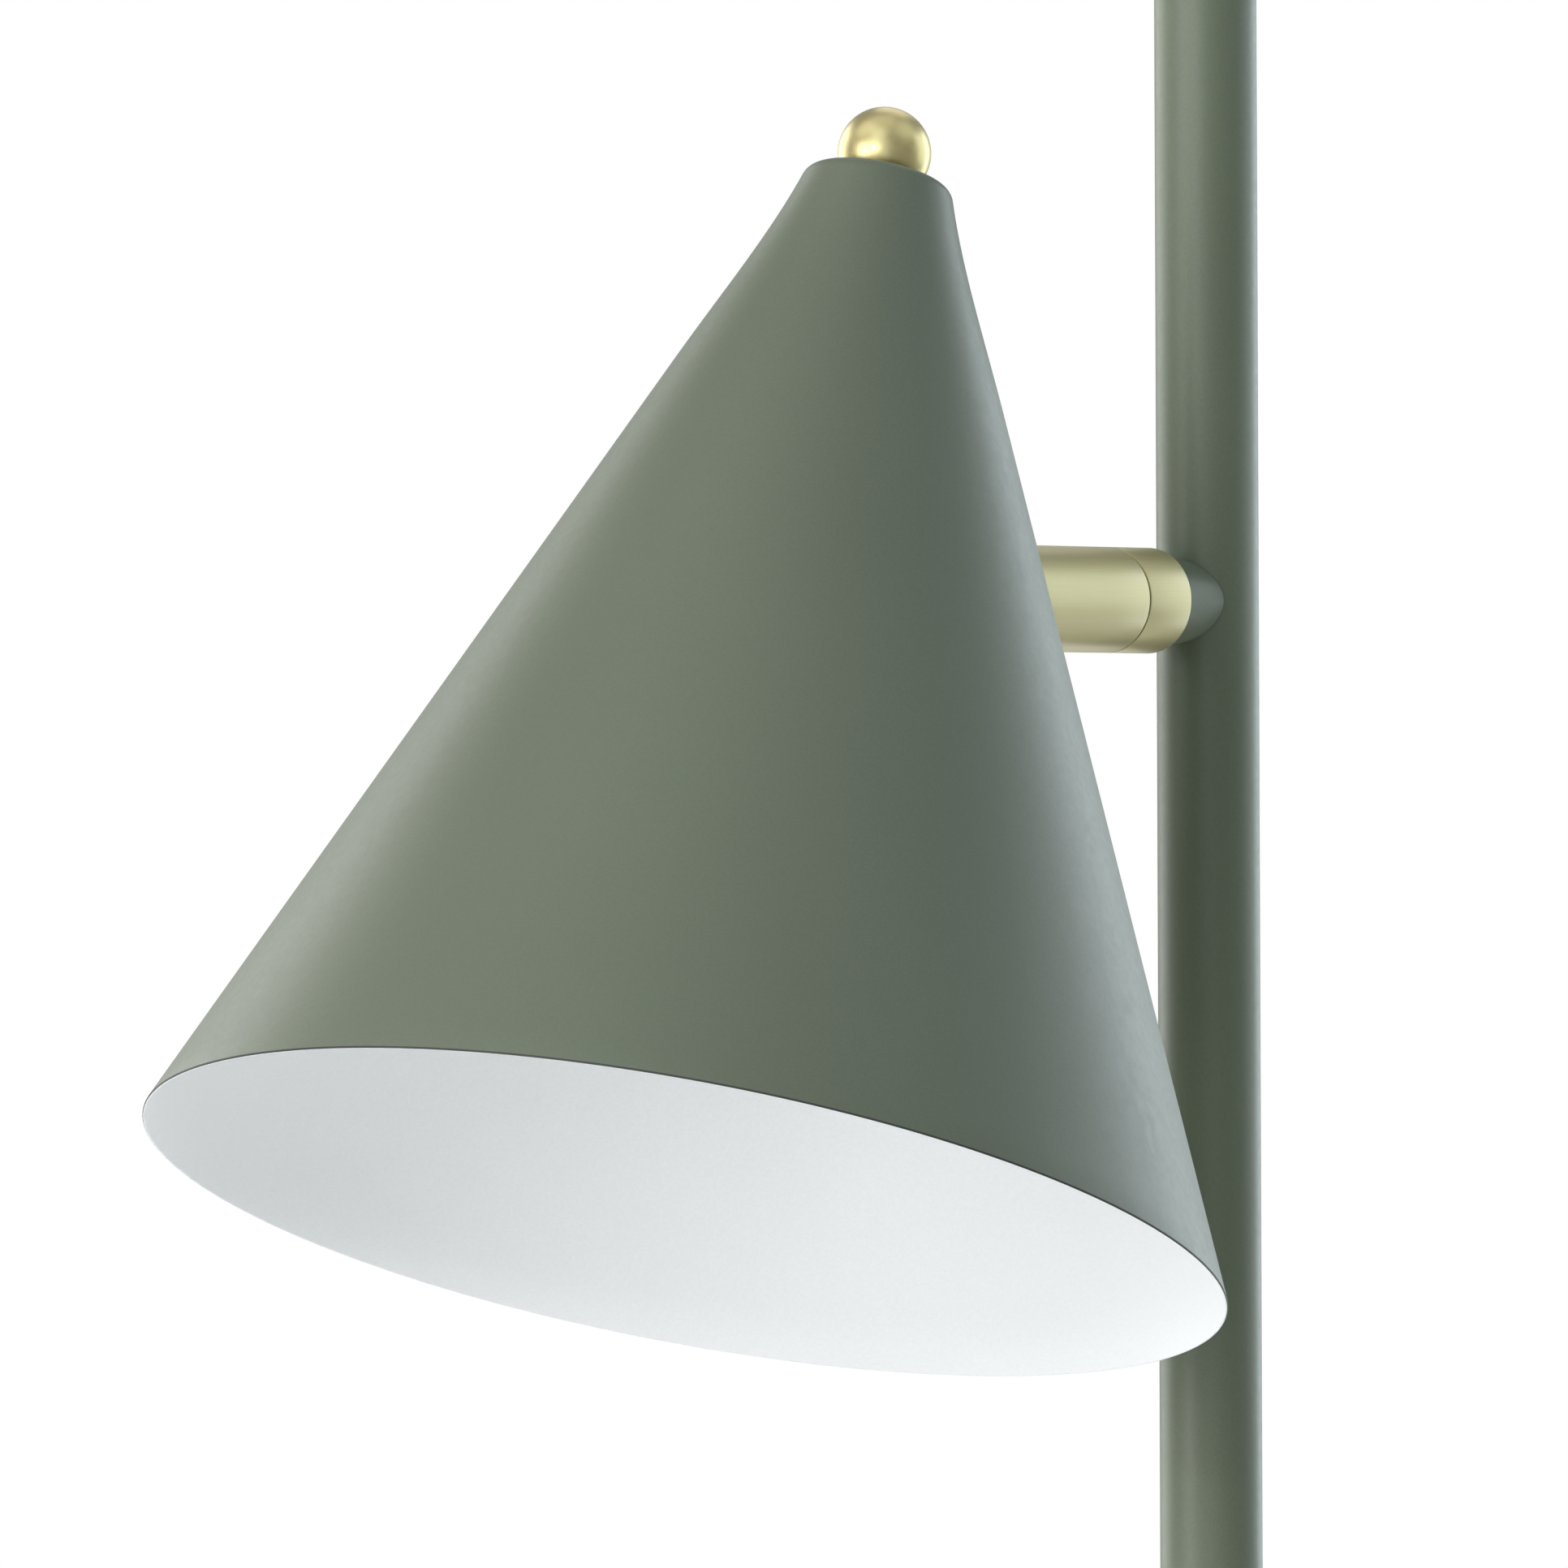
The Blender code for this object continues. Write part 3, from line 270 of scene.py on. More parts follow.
# ================================================================ materials
DRIFT_SCALE = 14.0
SPECKLE_SCALE = 1500.0
GLOSS_SCALE = 420.0
PEEL_SCALE = 520.0
FINE_PEEL_SCALE = 2100.0
LACQUER_ROUGHNESS = 0.30
ALONG_ARM = (1.0, 0.015, 1.0)   # stretches a grain along Y


def start_material(name, colour, roughness, metallic=0.0):
    """A material with its shader; returns the material, its node tree and the shader."""
    material = bpy.data.materials.new(name)
    material.use_nodes = True
    tree = material.node_tree
    tree.nodes.clear()
    output = tree.nodes.new("ShaderNodeOutputMaterial")
    shader = tree.nodes.new("ShaderNodeBsdfPrincipled")
    tree.links.new(shader.outputs["BSDF"], output.inputs["Surface"])
    shader.inputs["Base Color"].default_value = (*colour, 1.0)
    shader.inputs["Roughness"].default_value = roughness
    shader.inputs["Metallic"].default_value = metallic
    return material, tree, shader


def noise(tree, scale, stretch=(1.0, 1.0, 1.0), detail=3.0, rough=0.55):
    """Noise fixed to the piece; stretch makes it longer along an axis where its number is small."""
    place = tree.nodes.new("ShaderNodeTexCoord")
    mapping = tree.nodes.new("ShaderNodeMapping")
    mapping.inputs["Scale"].default_value = stretch
    texture = tree.nodes.new("ShaderNodeTexNoise")
    texture.inputs["Scale"].default_value = scale
    texture.inputs["Detail"].default_value = detail
    texture.inputs["Roughness"].default_value = rough
    tree.links.new(place.outputs["Object"], mapping.inputs["Vector"])
    tree.links.new(mapping.outputs["Vector"], texture.inputs["Vector"])
    return texture.outputs["Fac"]


def spread(tree, value, low, high):
    """The middle of a noise opened out to run from low to high."""
    spreader = tree.nodes.new("ShaderNodeMapRange")
    spreader.inputs["From Min"].default_value = 0.30
    spreader.inputs["From Max"].default_value = 0.70
    spreader.inputs["To Min"].default_value = low
    spreader.inputs["To Max"].default_value = high
    tree.links.new(value, spreader.inputs["Value"])
    return spreader.outputs["Result"]


def two_tones(tree, value, dark, light):
    ramp = tree.nodes.new("ShaderNodeValToRGB")
    ramp.color_ramp.elements[0].position = 0.32
    ramp.color_ramp.elements[0].color = (*dark, 1.0)
    ramp.color_ramp.elements[1].position = 0.68
    ramp.color_ramp.elements[1].color = (*light, 1.0)
    tree.links.new(value, ramp.inputs["Fac"])
    return ramp.outputs["Color"]


def tinted(colour, share):
    return tuple(channel * share for channel in colour)


def add_bump(tree, shader, value, distance, under=None):
    bump = tree.nodes.new("ShaderNodeBump")
    bump.inputs["Distance"].default_value = distance
    bump.inputs["Strength"].default_value = 1.0
    tree.links.new(value, bump.inputs["Height"])
    if under is not None:
        tree.links.new(under, bump.inputs["Normal"])
    tree.links.new(bump.outputs["Normal"], shader.inputs["Normal"])
    return bump.outputs["Normal"]


def painted(name, colour, roughness, mottle, grain, relief):
    """Powder coat: a slow drift in tone, fine speckle, and orange peel in the surface."""
    material, tree, shader = start_material(name, colour, roughness)
    slow = noise(tree, DRIFT_SCALE, detail=2.0)
    drift = two_tones(tree, slow, tinted(colour, 1.0 - mottle), tinted(colour, 1.0 + mottle))
    fine = noise(tree, SPECKLE_SCALE, detail=2.0)
    speckle = two_tones(tree, fine, (1.0 - grain,) * 3, (1.0 + grain,) * 3)
    mix = tree.nodes.new("ShaderNodeMix")
    mix.data_type = "RGBA"
    mix.blend_type = "MULTIPLY"
    mix.inputs["Factor"].default_value = 1.0
    tree.links.new(drift, mix.inputs["A"])
    tree.links.new(speckle, mix.inputs["B"])
    tree.links.new(mix.outputs["Result"], shader.inputs["Base Color"])
    rough = spread(tree, noise(tree, GLOSS_SCALE), roughness - 0.03, roughness + 0.03)
    tree.links.new(rough, shader.inputs["Roughness"])
    peel = add_bump(tree, shader, noise(tree, PEEL_SCALE, detail=2.0), relief)
    add_bump(tree, shader, noise(tree, FINE_PEEL_SCALE, detail=1.0), relief * 0.25, under=peel)
    return material


def metal(name, colour, roughness, grain, relief, stretch=(1.0, 1.0, 1.0), scale=900.0, lacquer=0.0):
    """Metal with a grain: speckled when the stretch is even, brushed when it is long one way."""
    material, tree, shader = start_material(name, colour, roughness, 1.0)
    shader.inputs["Coat Weight"].default_value = lacquer
    shader.inputs["Coat Roughness"].default_value = LACQUER_ROUGHNESS
    streaks = noise(tree, scale, stretch, detail=4.0, rough=0.62)
    tree.links.new(two_tones(tree, streaks, tinted(colour, 1.0 - grain), tinted(colour, 1.0 + grain)),
                   shader.inputs["Base Color"])
    tree.links.new(spread(tree, streaks, roughness - 0.04, roughness + 0.04), shader.inputs["Roughness"])
    add_bump(tree, shader, streaks, relief)
    return material


def moulded(name, colour, roughness, relief, scale=700.0):
    """Plastic, rubber or glaze: nearly even, with a faint texture."""
    material, tree, shader = start_material(name, colour, roughness)
    fleck = noise(tree, scale)
    tree.links.new(two_tones(tree, fleck, tinted(colour, 0.95), tinted(colour, 1.05)),
                   shader.inputs["Base Color"])
    tree.links.new(spread(tree, noise(tree, 60.0), roughness - 0.05, roughness + 0.05),
                   shader.inputs["Roughness"])
    add_bump(tree, shader, fleck, relief)
    return material


GREEN = (0.137, 0.164, 0.112)
OUTSIDE = painted("sage_powder_coat", GREEN, 0.46, 0.025, 0.05, 0.000012)
# A copy of the sage paint made 13 % lighter for the pole, its cap and the stub: painted light for the
# stronger light that falls on them.
POLE_COAT_PAINTED_LIGHT = painted("sage_powder_coat_pole_painted_light", tinted(GREEN, 1.13), 0.45, 0.025, 0.05, 0.000012)
LINING = painted("white_powder_coat", (0.905, 0.92, 0.925), 0.55, 0.008, 0.02, 0.000010)
# Near-black painted shade for the outer half of the shade's edge, where the thin edge lies in shade.
EDGE_PAINTED_SHADE = painted("lampshade_rim_painted_shade", (0.035, 0.038, 0.034), 0.62, 0.05, 0.05, 0.000006)
BRUSHED_BRASS = metal("brushed_brass", (0.49, 0.445, 0.235), 0.55, 0.05, 0.0000012, ALONG_ARM, 2000.0,
                      lacquer=0.6)
SATIN_BRASS = metal("satin_brass_ball", (0.58, 0.50, 0.235), 0.38, 0.02, 0.0000006, scale=700.0,
                    lacquer=0.4)
FINISHES = {
    "sage_paint": OUTSIDE,
    "satin_brass": SATIN_BRASS,
    "cast_iron": metal("grey_cast_iron", (0.09, 0.09, 0.092), 0.62, 0.30, 0.00012, scale=420.0),
    "zinc_steel": metal("zinc_plated_steel", (0.56, 0.57, 0.58), 0.34, 0.06, 0.000004, scale=650.0),
    "black_pad": moulded("black_foam", (0.020, 0.020, 0.020), 0.90, 0.00012, 900.0),
    "black_plastic": moulded("black_moulding", (0.025, 0.025, 0.026), 0.45, 0.00002),
    "white_plastic": moulded("white_moulding", (0.75, 0.75, 0.73), 0.34, 0.000008),
    "nylon": moulded("natural_nylon", (0.70, 0.69, 0.64), 0.48, 0.00001),
    "porcelain": moulded("glazed_porcelain", (0.80, 0.79, 0.76), 0.16, 0.000006, 240.0),
    "nickel": metal("nickel_plated_sheet", (0.66, 0.64, 0.60), 0.22, 0.03, 0.000002, scale=800.0),
    "opal_glass": moulded("opal_glass", (0.88, 0.88, 0.86), 0.22, 0.000002, 200.0),
    "lead_sheath": moulded("white_sheath", (0.78, 0.78, 0.76), 0.40, 0.000012),
}


def dress_nodes():
    """Give each CAD node that stays in view the finish of its slot."""
    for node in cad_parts.values():
        for place in node.material_slots:
            slot = place.material.name.split(".")[0]
            if slot in FINISHES:
                place.material = FINISHES[slot]


# ================================================================ shade
def shade_outline():
    """The shade's outer face from the hole in its top down to the opening."""
    wall_height = SHADE_HEIGHT - SHOULDER_RADIUS * (1.0 - math.sin(SHOULDER_WALL_ANGLE))
    centre_radius = wall_radius(wall_height) - SHOULDER_RADIUS * math.cos(SHOULDER_WALL_ANGLE)
    centre = (centre_radius, SHADE_HEIGHT - SHOULDER_RADIUS)
    outline = [(NIPPLE_HOLE, SHADE_HEIGHT), (centre_radius * 0.75, SHADE_HEIGHT)]
    outline += arc(centre, SHOULDER_RADIUS, 90.0, math.degrees(SHOULDER_WALL_ANGLE), SHOULDER_STEPS)
    for index in range(1, WAIST_STEPS + 1):
        height = wall_height + (WAIST_START - wall_height) * index / WAIST_STEPS
        outline.append((wall_radius(height), height))
    for index in range(1, WALL_STEPS):
        height = WAIST_START * (1.0 - index / WALL_STEPS)
        outline.append((wall_radius(height), height))
    outline.append((SHADE_RADIUS, 0.0))
    return outline


def make_shade():
    """One thin sheet: green outside, white inside, with a rounded edge whose outer half is painted
    near-black as painted shade.
    """
    outside = shade_outline()
    round_off = EDGE_SHEET / 2.0
    outside[-1] = (SHADE_RADIUS - round_off * math.sin(CONE_ANGLE), round_off * math.cos(CONE_ANGLE))
    outside.insert(-1, (wall_radius(TAPER_HEIGHT), TAPER_HEIGHT))

    def thickness_at(height):
        return SHADE_SHEET if height >= TAPER_HEIGHT else EDGE_SHEET

    inside = inside_of(outside, SHADE_SHEET, thickness_at)
    edge_centre = ((outside[-1][0] + inside[-1][0]) / 2.0, (outside[-1][1] + inside[-1][1]) / 2.0)
    start = math.degrees(CONE_ANGLE)
    edge = arc(edge_centre, round_off, start, start - 180.0, EDGE_STEPS)
    outline = outside[:-1] + edge + inside[-2::-1]
    edge_start = len(outside) - 1

    def band_of(index):
        if index < edge_start:
            return 0
        # the edge's outer half gets band 2, the near-black painted shade; so does the face round the top
        # hole
        if index < edge_start + PAINTED_SHADE_STEPS:
            return 2
        return 1 if index < len(outline) - 1 else 2

    body = revolve(outline, ROUND_STEPS, band_of)
    shade = add_piece("shade_sheet", body, SHADE_FRAME, [OUTSIDE, LINING, EDGE_PAINTED_SHADE],
                      "shade_head", ["shade"])
    bore(shade, ARM_FRAME, NIPPLE_HOLE, SLEEVE_PLUG_END, SADDLE_FACE)


def ball_outline(centre, seat_radius):
    """A ball on its flat seat, with a fine groove where it lands."""
    seat_angle = -math.degrees(math.asin(FINIAL_SEAT / FINIAL_RADIUS))
    outline = [(0.0, centre + FINIAL_RADIUS)]
    outline += arc((0.0, centre), FINIAL_RADIUS, 90.0, seat_angle, 48)[1:]
    seat_height = centre - FINIAL_SEAT - SEAT_GROOVE_DEPTH
    outline += [(outline[-1][0] - SEAT_GROOVE_WIDTH, seat_height), (seat_radius, seat_height)]
    return outline


def make_finials():
    centre = SHADE_HEIGHT + GAP + FINIAL_SEAT - FINIAL_SINK
    outline = ball_outline(centre, NIPPLE_HOLE) + [(NIPPLE_HOLE, centre - GAP), (0.0, centre - GAP)]
    turned("shade_ball", outline, SHADE_FRAME, SATIN_BRASS, "shade_head",
           ["shade_finial"], BALL_STEPS)

    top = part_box("pole_finial")[1][2]
    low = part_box("pole_finial")[0][2]
    centre = top - FINIAL_RADIUS
    outline = ball_outline(centre, FINIAL_STUD_RADIUS) + [(FINIAL_STUD_RADIUS, low), (0.0, low)]
    turned("pole_ball", outline, Matrix.Identity(4), SATIN_BRASS, "root",
           ["pole_finial"], BALL_STEPS)


# ================================================================ arm
def cone_reach(x, z, offset):
    """How far along the arm a line at x and z meets the cone; the offset is outside the cone's face."""
    tilt_cos = math.cos(SHADE_TILT)
    tilt_sin = math.sin(SHADE_TILT)
    slope = math.tan(CONE_ANGLE)
    rise = z - SHADE_CENTRE.z
    flat = SHADE_RADIUS + offset / math.cos(CONE_ANGLE) - slope * tilt_cos * rise
    a = tilt_cos ** 2 - (slope * tilt_sin) ** 2
    b = 2.0 * (slope * tilt_sin * flat - tilt_cos * tilt_sin * rise)
    c = x ** 2 + (tilt_sin * rise) ** 2 - flat ** 2
    reach = (-b + math.sqrt(b * b - 4.0 * a * c)) / (2.0 * a)
    return -(SHADE_CENTRE.y + reach)


def tube_rows(body, rows, steps):
    """Rows of vertices round the arm; a row gives the radius and the distance along it for an angle."""
    made = []
    for row in rows:
        vertices = []
        for step in range(steps):
            angle = 2.0 * math.pi * step / steps
            radius, distance = row(angle)
            vertices.append(body.verts.new((radius * math.cos(angle), -distance,
                                            ARM_HEIGHT + radius * math.sin(angle))))
        made.append(vertices)
    return made


def make_sleeve():
    """The long brass sleeve, its far end coped to the cone; its stop groove is left to the CAD solid."""
    start = SLEEVE_START
    web_end = SLEEVE_START + SLEEVE_WEB
    rows = [lambda angle: (NIPPLE_HOLE, start), lambda angle: (BRASS_RADIUS - BRASS_EDGE, start)]
    edge_centre = (BRASS_RADIUS - BRASS_EDGE, -(start + BRASS_EDGE))
    for radius, distance in arc(edge_centre, BRASS_EDGE, 80.0, 0.0, 4):
        rows.append(lambda angle, radius=radius, distance=distance: (radius, -distance))

    def coped(radius, share):
        def row(angle):
            end = cone_reach(radius * math.cos(angle), ARM_HEIGHT + radius * math.sin(angle), GAP / 3.0)
            return radius, start + BRASS_EDGE + (end - start - BRASS_EDGE) * share
        return row

    for share in (0.2, 0.4, 0.6, 0.8, 1.0):
        rows.append(coped(BRASS_RADIUS, share))
    rows.append(coped(SLEEVE_BORE, 1.0))
    rows.append(lambda angle: (SLEEVE_BORE, web_end))
    rows.append(lambda angle: (NIPPLE_HOLE, web_end))
    body = bmesh.new()
    made = tube_rows(body, rows, SMALL_STEPS)
    for index in range(len(made)):
        stitch(body, made[index], made[(index + 1) % len(made)])
    add_piece("swivel_sleeve_brushed", body, Matrix.Identity(4), [BRUSHED_BRASS],
              "shade_head", ["swivel_sleeve"])


def make_ring():
    """The short brass ring; its hidden recess and pin hole are left to the CAD solid."""
    outline = rounded_ring(BRASS_RADIUS, NIPPLE_HOLE, RING_START, RING_END, BRASS_EDGE)
    turned("swivel_ring_brushed", outline, ARM_FRAME, BRUSHED_BRASS, "root",
           ["swivel_ring"])


def make_stub():
    """The stub, with a fine groove round its foot where it meets the pole."""
    inner = STUB_RADIUS - POLE_WALL

    def by_pole(radius, distance):
        def row(angle):
            across = radius * math.cos(angle)
            return radius, math.sqrt(POLE_RADIUS ** 2 - across ** 2) + distance
        return row

    rows = [
        by_pole(STUB_RADIUS - JOINT_DEPTH, 0.0),
        by_pole(STUB_RADIUS - JOINT_DEPTH, JOINT_WIDTH / 2.0),
        by_pole(STUB_RADIUS - JOINT_DEPTH / 4.0, JOINT_WIDTH),
        by_pole(STUB_RADIUS, JOINT_WIDTH * 1.5),
        by_pole(STUB_RADIUS, JOINT_WIDTH * 2.0),
        lambda angle: (STUB_RADIUS, STUB_END - STUB_EDGE),
        lambda angle: (STUB_RADIUS - STUB_EDGE, STUB_END),
        lambda angle: (inner, STUB_END),
        by_pole(inner, 0.0),
    ]
    body = bmesh.new()
    made = tube_rows(body, rows, SMALL_STEPS)
    for index in range(len(made)):
        stitch(body, made[index], made[(index + 1) % len(made)])
    add_piece("arm_stub_painted", body, Matrix.Identity(4), [POLE_COAT_PAINTED_LIGHT], "root",
              ["arm_stub"])


# ================================================================ pole
def make_pole():
    for node in ("pole_lower", "pole_upper"):
        low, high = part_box(node)
        outline = rounded_ring(POLE_RADIUS, POLE_RADIUS - POLE_WALL, low[2], high[2], POLE_EDGE)
        body = revolve(outline, SMALL_STEPS)
        add_piece(node + "_tube", body, Matrix.Identity(4), [POLE_COAT_PAINTED_LIGHT], "root", [node])
    low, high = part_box("pole_top_plug")
    flange_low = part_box("pole_upper")[1][2] + GAP
    plug_radius = POLE_RADIUS - POLE_WALL - GAP
    cap_edge = POLE_EDGE * 2.0
    outline = [(PLUG_HOLE_RADIUS, high[2])]
    outline += arc((POLE_RADIUS - cap_edge, high[2] - cap_edge), cap_edge, 90.0, 0.0, 5)
    outline += [(POLE_RADIUS, flange_low), (plug_radius, flange_low)]
    outline += [(plug_radius, low[2]), (PLUG_HOLE_RADIUS, low[2])]
    turned("pole_cap", outline, Matrix.Identity(4), POLE_COAT_PAINTED_LIGHT, "root", ["pole_top_plug"])


# ================================================================ base
def make_base():
    edge_centre = (BASE_RADIUS - BASE_EDGE_RADIUS, BASE_HEIGHT - BASE_EDGE_RADIUS)
    outside = [(NIPPLE_HOLE, BASE_HEIGHT)]
    outside += [(BASE_RADIUS * share, BASE_HEIGHT) for share in (0.3, 0.6, 0.9)]
    outside += arc(edge_centre, BASE_EDGE_RADIUS, 90.0, 0.0, 12)
    outside.append((BASE_RADIUS, COVER_RIM_HEIGHT))
    inside = inside_of(outside, COVER_SHEET)
    outline = outside + inside[::-1]
    cover = turned("base_cover_spun", outline, Matrix.Identity(4), OUTSIDE, "root",
                   ["base_cover"], BASE_STEPS)
    bore(cover, GLAND_FRAME, GLAND_RADIUS + GAP, -0.010, 0.010)


def make_gland():
    """The flanged bush for the mains lead, with a rounded mouth."""
    low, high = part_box("cord_gland")
    flange_radius = half_size("cord_gland", 0)
    front = high[1] - BASE_RADIUS
    back = low[1] - BASE_RADIUS
    flange_back = 2.0 * GAP
    outline = arc((GLAND_BORE + GLAND_LIP, front - GLAND_LIP), GLAND_LIP, 180.0, 90.0, 6)
    outline += arc((flange_radius - GLAND_LIP, front - GLAND_LIP), GLAND_LIP, 90.0, 0.0, 6)
    outline += [(flange_radius, flange_back), (GLAND_RADIUS, flange_back), (GLAND_RADIUS, back)]
    outline.append((GLAND_BORE, back))
    turned("gland_moulded", outline, GLAND_FRAME, FINISHES["black_plastic"], "root",
           ["cord_gland"])


# ================================================================ lampholder and bulb
def make_bulb():
    """The bulb's glass: a globe that blends into its neck."""
    blend_radius = BULB_NECK_RADIUS + BULB_BLEND
    blend_rise = math.sqrt((BULB_RADIUS + BULB_BLEND) ** 2 - blend_radius ** 2)
    blend_angle = math.degrees(math.atan2(blend_rise, blend_radius))
    blend_centre = (blend_radius, BULB_CENTRE + blend_rise)
    outside = [(BULB_NECK_RADIUS, BULB_NECK_TOP)]
    outside += arc(blend_centre, BULB_BLEND, 180.0, 180.0 + blend_angle, 14)
    outside += arc((0.0, BULB_CENTRE), BULB_RADIUS, blend_angle, -90.0, 40)[1:-1]
    inside = inside_of(outside, GLASS_WALL)
    outline = [(0.0, BULB_CENTRE - BULB_RADIUS)] + outside[::-1] + inside
    outline.append((0.0, BULB_CENTRE - BULB_RADIUS + GLASS_WALL))
    turned("bulb_glass", outline, SHADE_FRAME, FINISHES["opal_glass"], "shade_head",
           ["bulb_globe"])


def make_holder():
    """The lampholder's grooved skirt, and the dome over it with its hole for the lead."""
    low = HOLDER_MOUTH
    high = HOLDER_CAP_BOTTOM - GAP
    edge = HOLDER_EDGE
    groove_floor = HOLDER_RADIUS - HOLDER_GROOVE_DEPTH
    outline = [(HOLDER_BORE, high), (HOLDER_RADIUS - edge, high), (HOLDER_RADIUS, high - edge)]
    for index in range(HOLDER_GROOVES):
        height = high - HOLDER_GROOVE_START - index * HOLDER_GROOVE_PITCH
        foot = height - HOLDER_GROOVE_WIDTH
        outline += [(HOLDER_RADIUS, height), (groove_floor, height - HOLDER_GROOVE_DEPTH),
                    (groove_floor, foot + HOLDER_GROOVE_DEPTH), (HOLDER_RADIUS, foot)]
    outline += arc((HOLDER_RADIUS - edge, low + edge), edge, 0.0, -90.0, 4)
    outline.append((HOLDER_BORE, low))
    turned("holder_skirt", outline, SHADE_FRAME, FINISHES["white_plastic"], "shade_head",
           ["holder_body"])

    dome = (HOLDER_DOME_RADIUS, HOLDER_DOME_HEIGHT)
    outline = [(NIPPLE_HOLE, HOLDER_CAP_TOP), (HOLDER_NECK_RADIUS - edge, HOLDER_CAP_TOP)]
    outline += [(HOLDER_NECK_RADIUS, HOLDER_CAP_TOP - edge), (HOLDER_NECK_RADIUS, HOLDER_NECK_BOTTOM)]
    outline += arc(dome, HOLDER_RADIUS - dome[0], 84.0, 0.0, 18)
    outline += [(HOLDER_RADIUS, HOLDER_CAP_BOTTOM + edge), (HOLDER_RADIUS - edge, HOLDER_CAP_BOTTOM)]
    outline.append((HOLDER_BORE, HOLDER_CAP_BOTTOM))
    inside = arc(dome, HOLDER_BORE - dome[0], 0.0, 76.0, 14)
    outline += inside + [(NIPPLE_HOLE, inside[-1][1])]
    cap = turned("holder_dome", outline, SHADE_FRAME, FINISHES["white_plastic"], "shade_head",
                 ["holder_cap"])
    across = SHADE_FRAME @ Matrix.Translation((0.0, 0.0, LEAD_ENTRY_HEIGHT))
    bore(cap, across @ Matrix.Rotation(math.radians(-90.0), 4, "X"), LEAD_ENTRY_RADIUS,
         HOLDER_DOME_RADIUS, HOLDER_RADIUS + edge)


# ================================================================ stage, lights and camera
CAMERA_AZIMUTH = math.radians(35.9)
CAMERA_PITCH = math.radians(0.406)      # looking very slightly up
CAMERA_ROLL = math.radians(0.22)
CAMERA_DISTANCE = 5.0
CAMERA_OFFSET = Vector((-0.1037, 0.0, -0.0795))    # from the pole at the arm, to the right and up
CAMERA_LENS = 470.4                     # millimetres, on a sensor 36 mm wide
RIGHT = Vector((math.cos(CAMERA_AZIMUTH), math.sin(CAMERA_AZIMUTH), 0.0))
AHEAD = Vector((-math.sin(CAMERA_AZIMUTH), math.cos(CAMERA_AZIMUTH), 0.0))
AIM = Vector((0.0, -0.17, 1.20))
WHITE = (1.0, 1.0, 1.0)
COOL = (0.88, 1.0, 1.07)
# name, degrees right of the camera, degrees up, distance, width, height, watts, colour
LIGHTS = [
    ("key", -24.0, 17.0, 2.2, 0.34, 0.34, 10.0, WHITE),
    ("left_front", -52.0, 3.0, 1.8, 0.95, 1.4, 20.5, WHITE),
    ("left_rear", -132.0, 4.0, 1.8, 1.25, 2.0, 21.0, WHITE),
    ("front", -2.0, 4.0, 1.8, 0.8, 2.0, 3.2, COOL),
    ("right_side", 106.0, 12.0, 1.8, 0.8, 1.4, 5.6, COOL),
    ("right_rear", 139.0, 2.0, 1.8, 0.9, 1.6, 14.5, COOL),
    ("low_front", 12.0, -32.0, 1.5, 0.8, 0.8, 1.8, WHITE),
    ("low_rear", 166.0, -28.0, 1.8, 1.0, 0.6, 1.8, WHITE),
    ("high_left", -80.0, 55.0, 1.8, 1.0, 1.0, 3.5, WHITE),
    ("high_front", -20.0, 50.0, 1.8, 1.0, 1.0, 4.0, COOL),
    ("high_right", 80.0, 50.0, 1.8, 1.4, 1.0, 2.8, COOL),
    ("high_rear", 165.0, 46.0, 1.8, 1.0, 1.0, 3.0, WHITE),
    ("top", 0.0, 88.0, 1.8, 1.2, 1.2, 2.5, WHITE),
]
FILL = 0.02
REFLECTED = 0.38
FLOOR_RADIUS = 1.60
FLOOR_COLOUR = (0.82, 0.82, 0.81)
GLOW_START = 0.40                       # distance from the lamp at which the floor starts to brighten
GLOW_FULL = 1.55                        # and at which it is as bright as the backdrop


def make_stage():
    """A pale floor that brightens away from the lamp, so that it runs into the white backdrop."""
    body = bmesh.new()
    bmesh.ops.create_circle(body, cap_ends=True, segments=SMALL_STEPS, radius=FLOOR_RADIUS)
    mesh = bpy.data.meshes.new("floor")
    body.to_mesh(mesh)
    body.free()
    material, tree, shader = start_material("pale_floor", FLOOR_COLOUR, 0.75)
    tone = two_tones(tree, noise(tree, 3.0), (0.81, 0.81, 0.80), (0.83, 0.83, 0.82))
    tree.links.new(tone, shader.inputs["Base Color"])
    place = tree.nodes.new("ShaderNodeTexCoord")
    distance = tree.nodes.new("ShaderNodeVectorMath")
    distance.operation = "LENGTH"
    glow = tree.nodes.new("ShaderNodeMapRange")
    glow.interpolation_type = "SMOOTHSTEP"
    glow.inputs["From Min"].default_value = GLOW_START
    glow.inputs["From Max"].default_value = GLOW_FULL
    glow.inputs["To Max"].default_value = 1.0
    shader.inputs["Emission Color"].default_value = (1.0, 1.0, 1.0, 1.0)
    tree.links.new(place.outputs["Object"], distance.inputs[0])
    tree.links.new(distance.outputs["Value"], glow.inputs["Value"])
    tree.links.new(glow.outputs["Result"], shader.inputs["Emission Strength"])
    mesh.materials.append(material)
    floor = bpy.data.objects.new("floor", mesh)
    bpy.context.scene.collection.objects.link(floor)


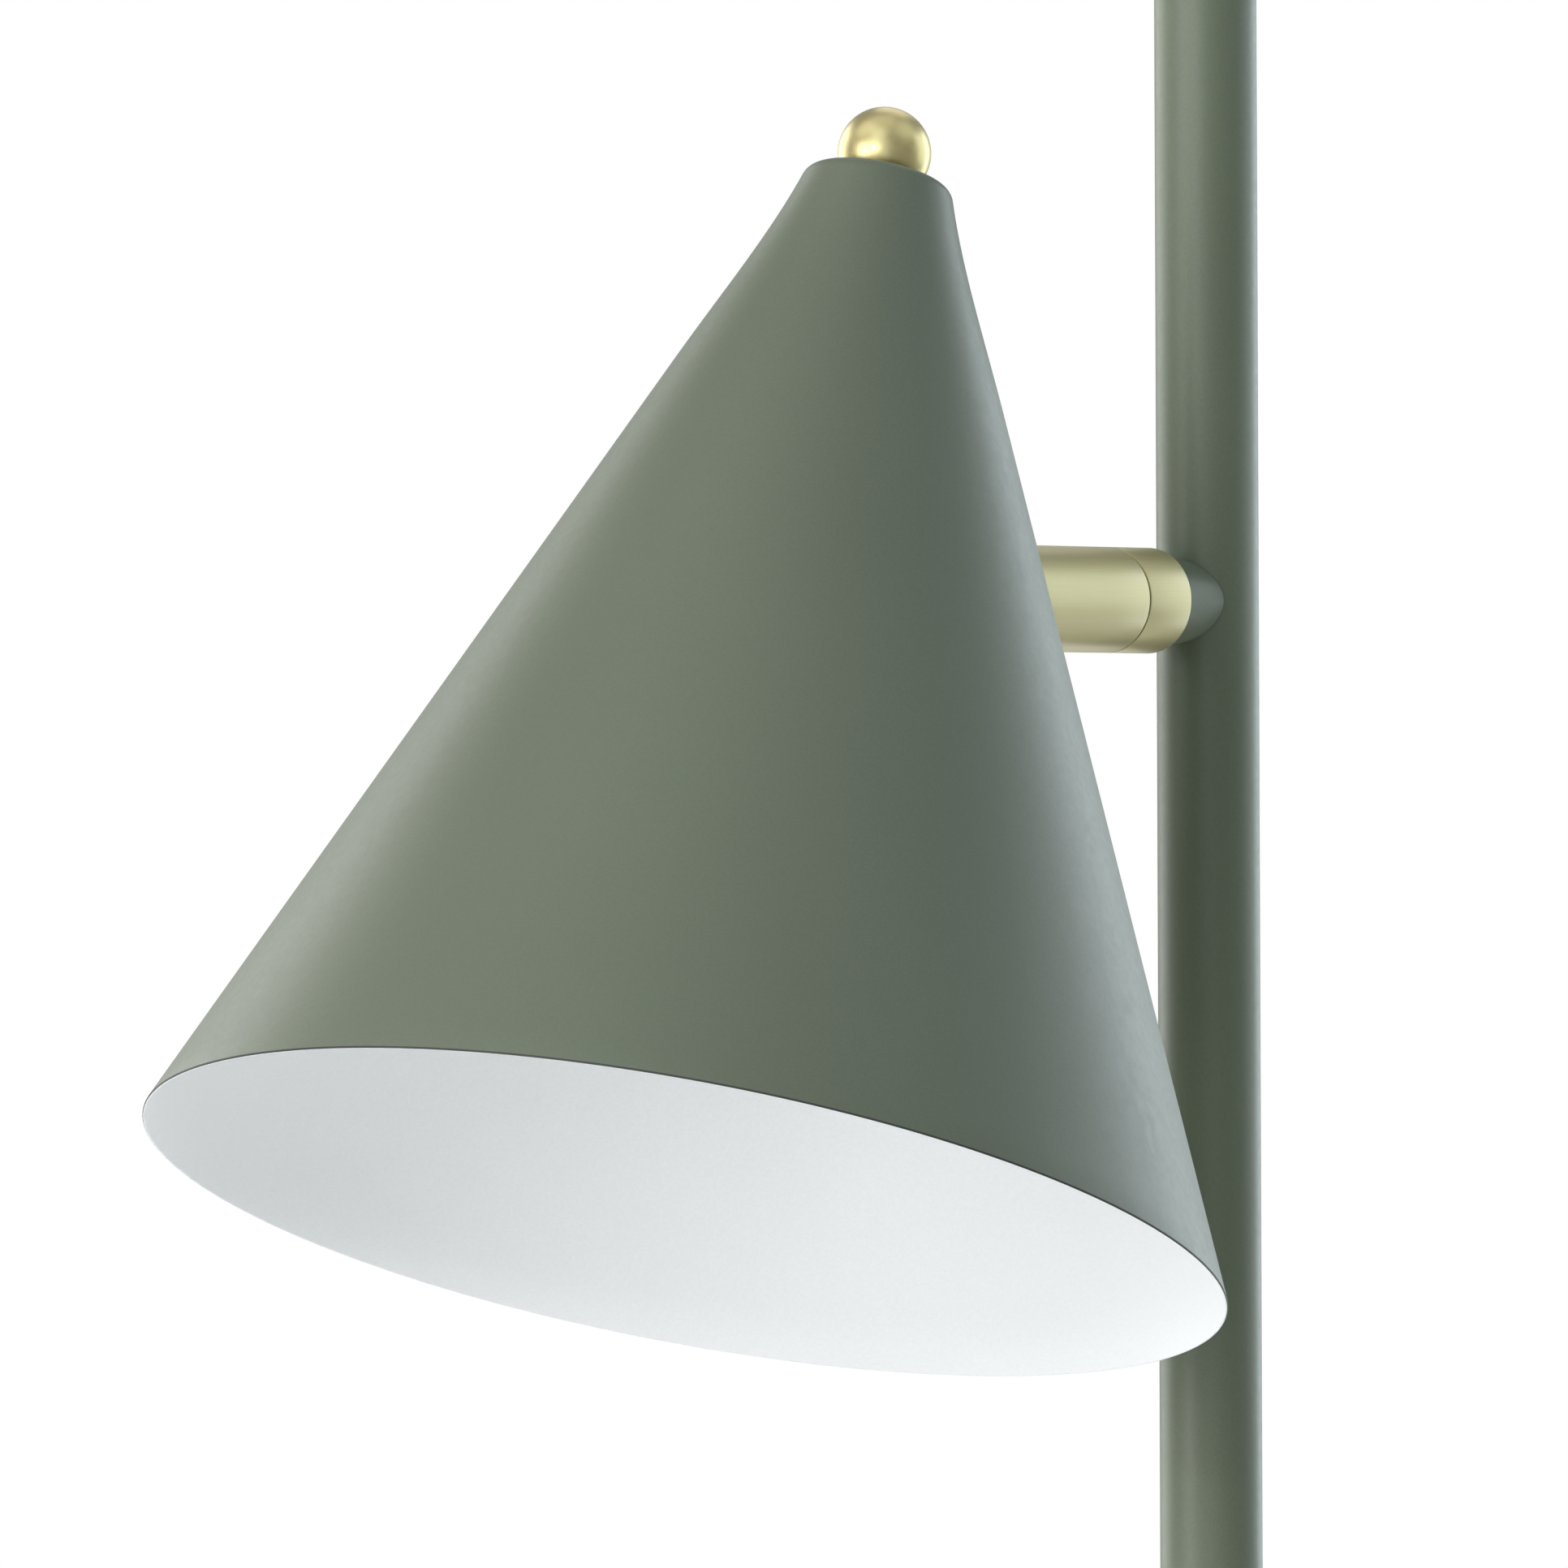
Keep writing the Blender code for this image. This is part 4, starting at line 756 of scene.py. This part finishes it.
def make_lights():
    for name, azimuth, elevation, distance, width, height, watts, colour in LIGHTS:
        turn = CAMERA_AZIMUTH + math.radians(azimuth)
        rise = math.radians(elevation)
        level = math.cos(rise)
        toward = Vector((math.sin(turn) * level, -math.cos(turn) * level, math.sin(rise)))
        data = bpy.data.lights.new(name, "AREA")
        data.shape = "RECTANGLE"
        data.size = width
        data.size_y = height
        data.energy = watts
        data.color = colour
        light = bpy.data.objects.new(name, data)
        light.location = AIM + toward * distance
        light.rotation_mode = "QUATERNION"
        light.rotation_quaternion = toward.to_track_quat("Z", "Y")
        light.visible_camera = False
        bpy.context.scene.collection.objects.link(light)


def make_world():
    """White behind the object, and a soft fill: weak on matte faces, stronger in reflections."""
    world = bpy.data.worlds.new("studio")
    bpy.context.scene.world = world
    world.use_nodes = True
    tree = world.node_tree
    tree.nodes.clear()
    path = tree.nodes.new("ShaderNodeLightPath")
    shown = None
    for name, strength, ray in (("fill", FILL, None), ("reflected", REFLECTED, "Is Glossy Ray"),
                                ("backdrop", 1.0, "Is Camera Ray")):
        sky = tree.nodes.new("ShaderNodeBackground")
        sky.name = name
        sky.inputs["Color"].default_value = (1.0, 1.0, 1.0, 1.0)
        sky.inputs["Strength"].default_value = strength
        if shown is None:
            shown = sky.outputs["Background"]
            continue
        mix = tree.nodes.new("ShaderNodeMixShader")
        tree.links.new(path.outputs[ray], mix.inputs["Fac"])
        tree.links.new(shown, mix.inputs[1])
        tree.links.new(sky.outputs["Background"], mix.inputs[2])
        shown = mix.outputs["Shader"]
    output = tree.nodes.new("ShaderNodeOutputWorld")
    tree.links.new(shown, output.inputs["Surface"])


def make_camera():
    data = bpy.data.cameras.new("camera")
    data.sensor_width = 36.0
    data.lens = CAMERA_LENS
    data.clip_start = 0.1
    data.clip_end = 100.0
    camera = bpy.data.objects.new("camera", data)
    camera.location = RIGHT * CAMERA_OFFSET.x - AHEAD * CAMERA_DISTANCE
    camera.location.z = ARM_HEIGHT + CAMERA_OFFSET.z
    camera.rotation_euler = (math.radians(90.0) + CAMERA_PITCH, CAMERA_ROLL, CAMERA_AZIMUTH)
    bpy.context.scene.collection.objects.link(camera)
    bpy.context.scene.camera = camera
    bpy.context.scene.view_settings.view_transform = "Standard"


dress_nodes()
make_shade()
make_finials()
make_sleeve()
make_ring()
make_stub()
make_pole()
make_base()
make_gland()
make_bulb()
make_holder()
make_stage()
make_lights()
make_world()
make_camera()
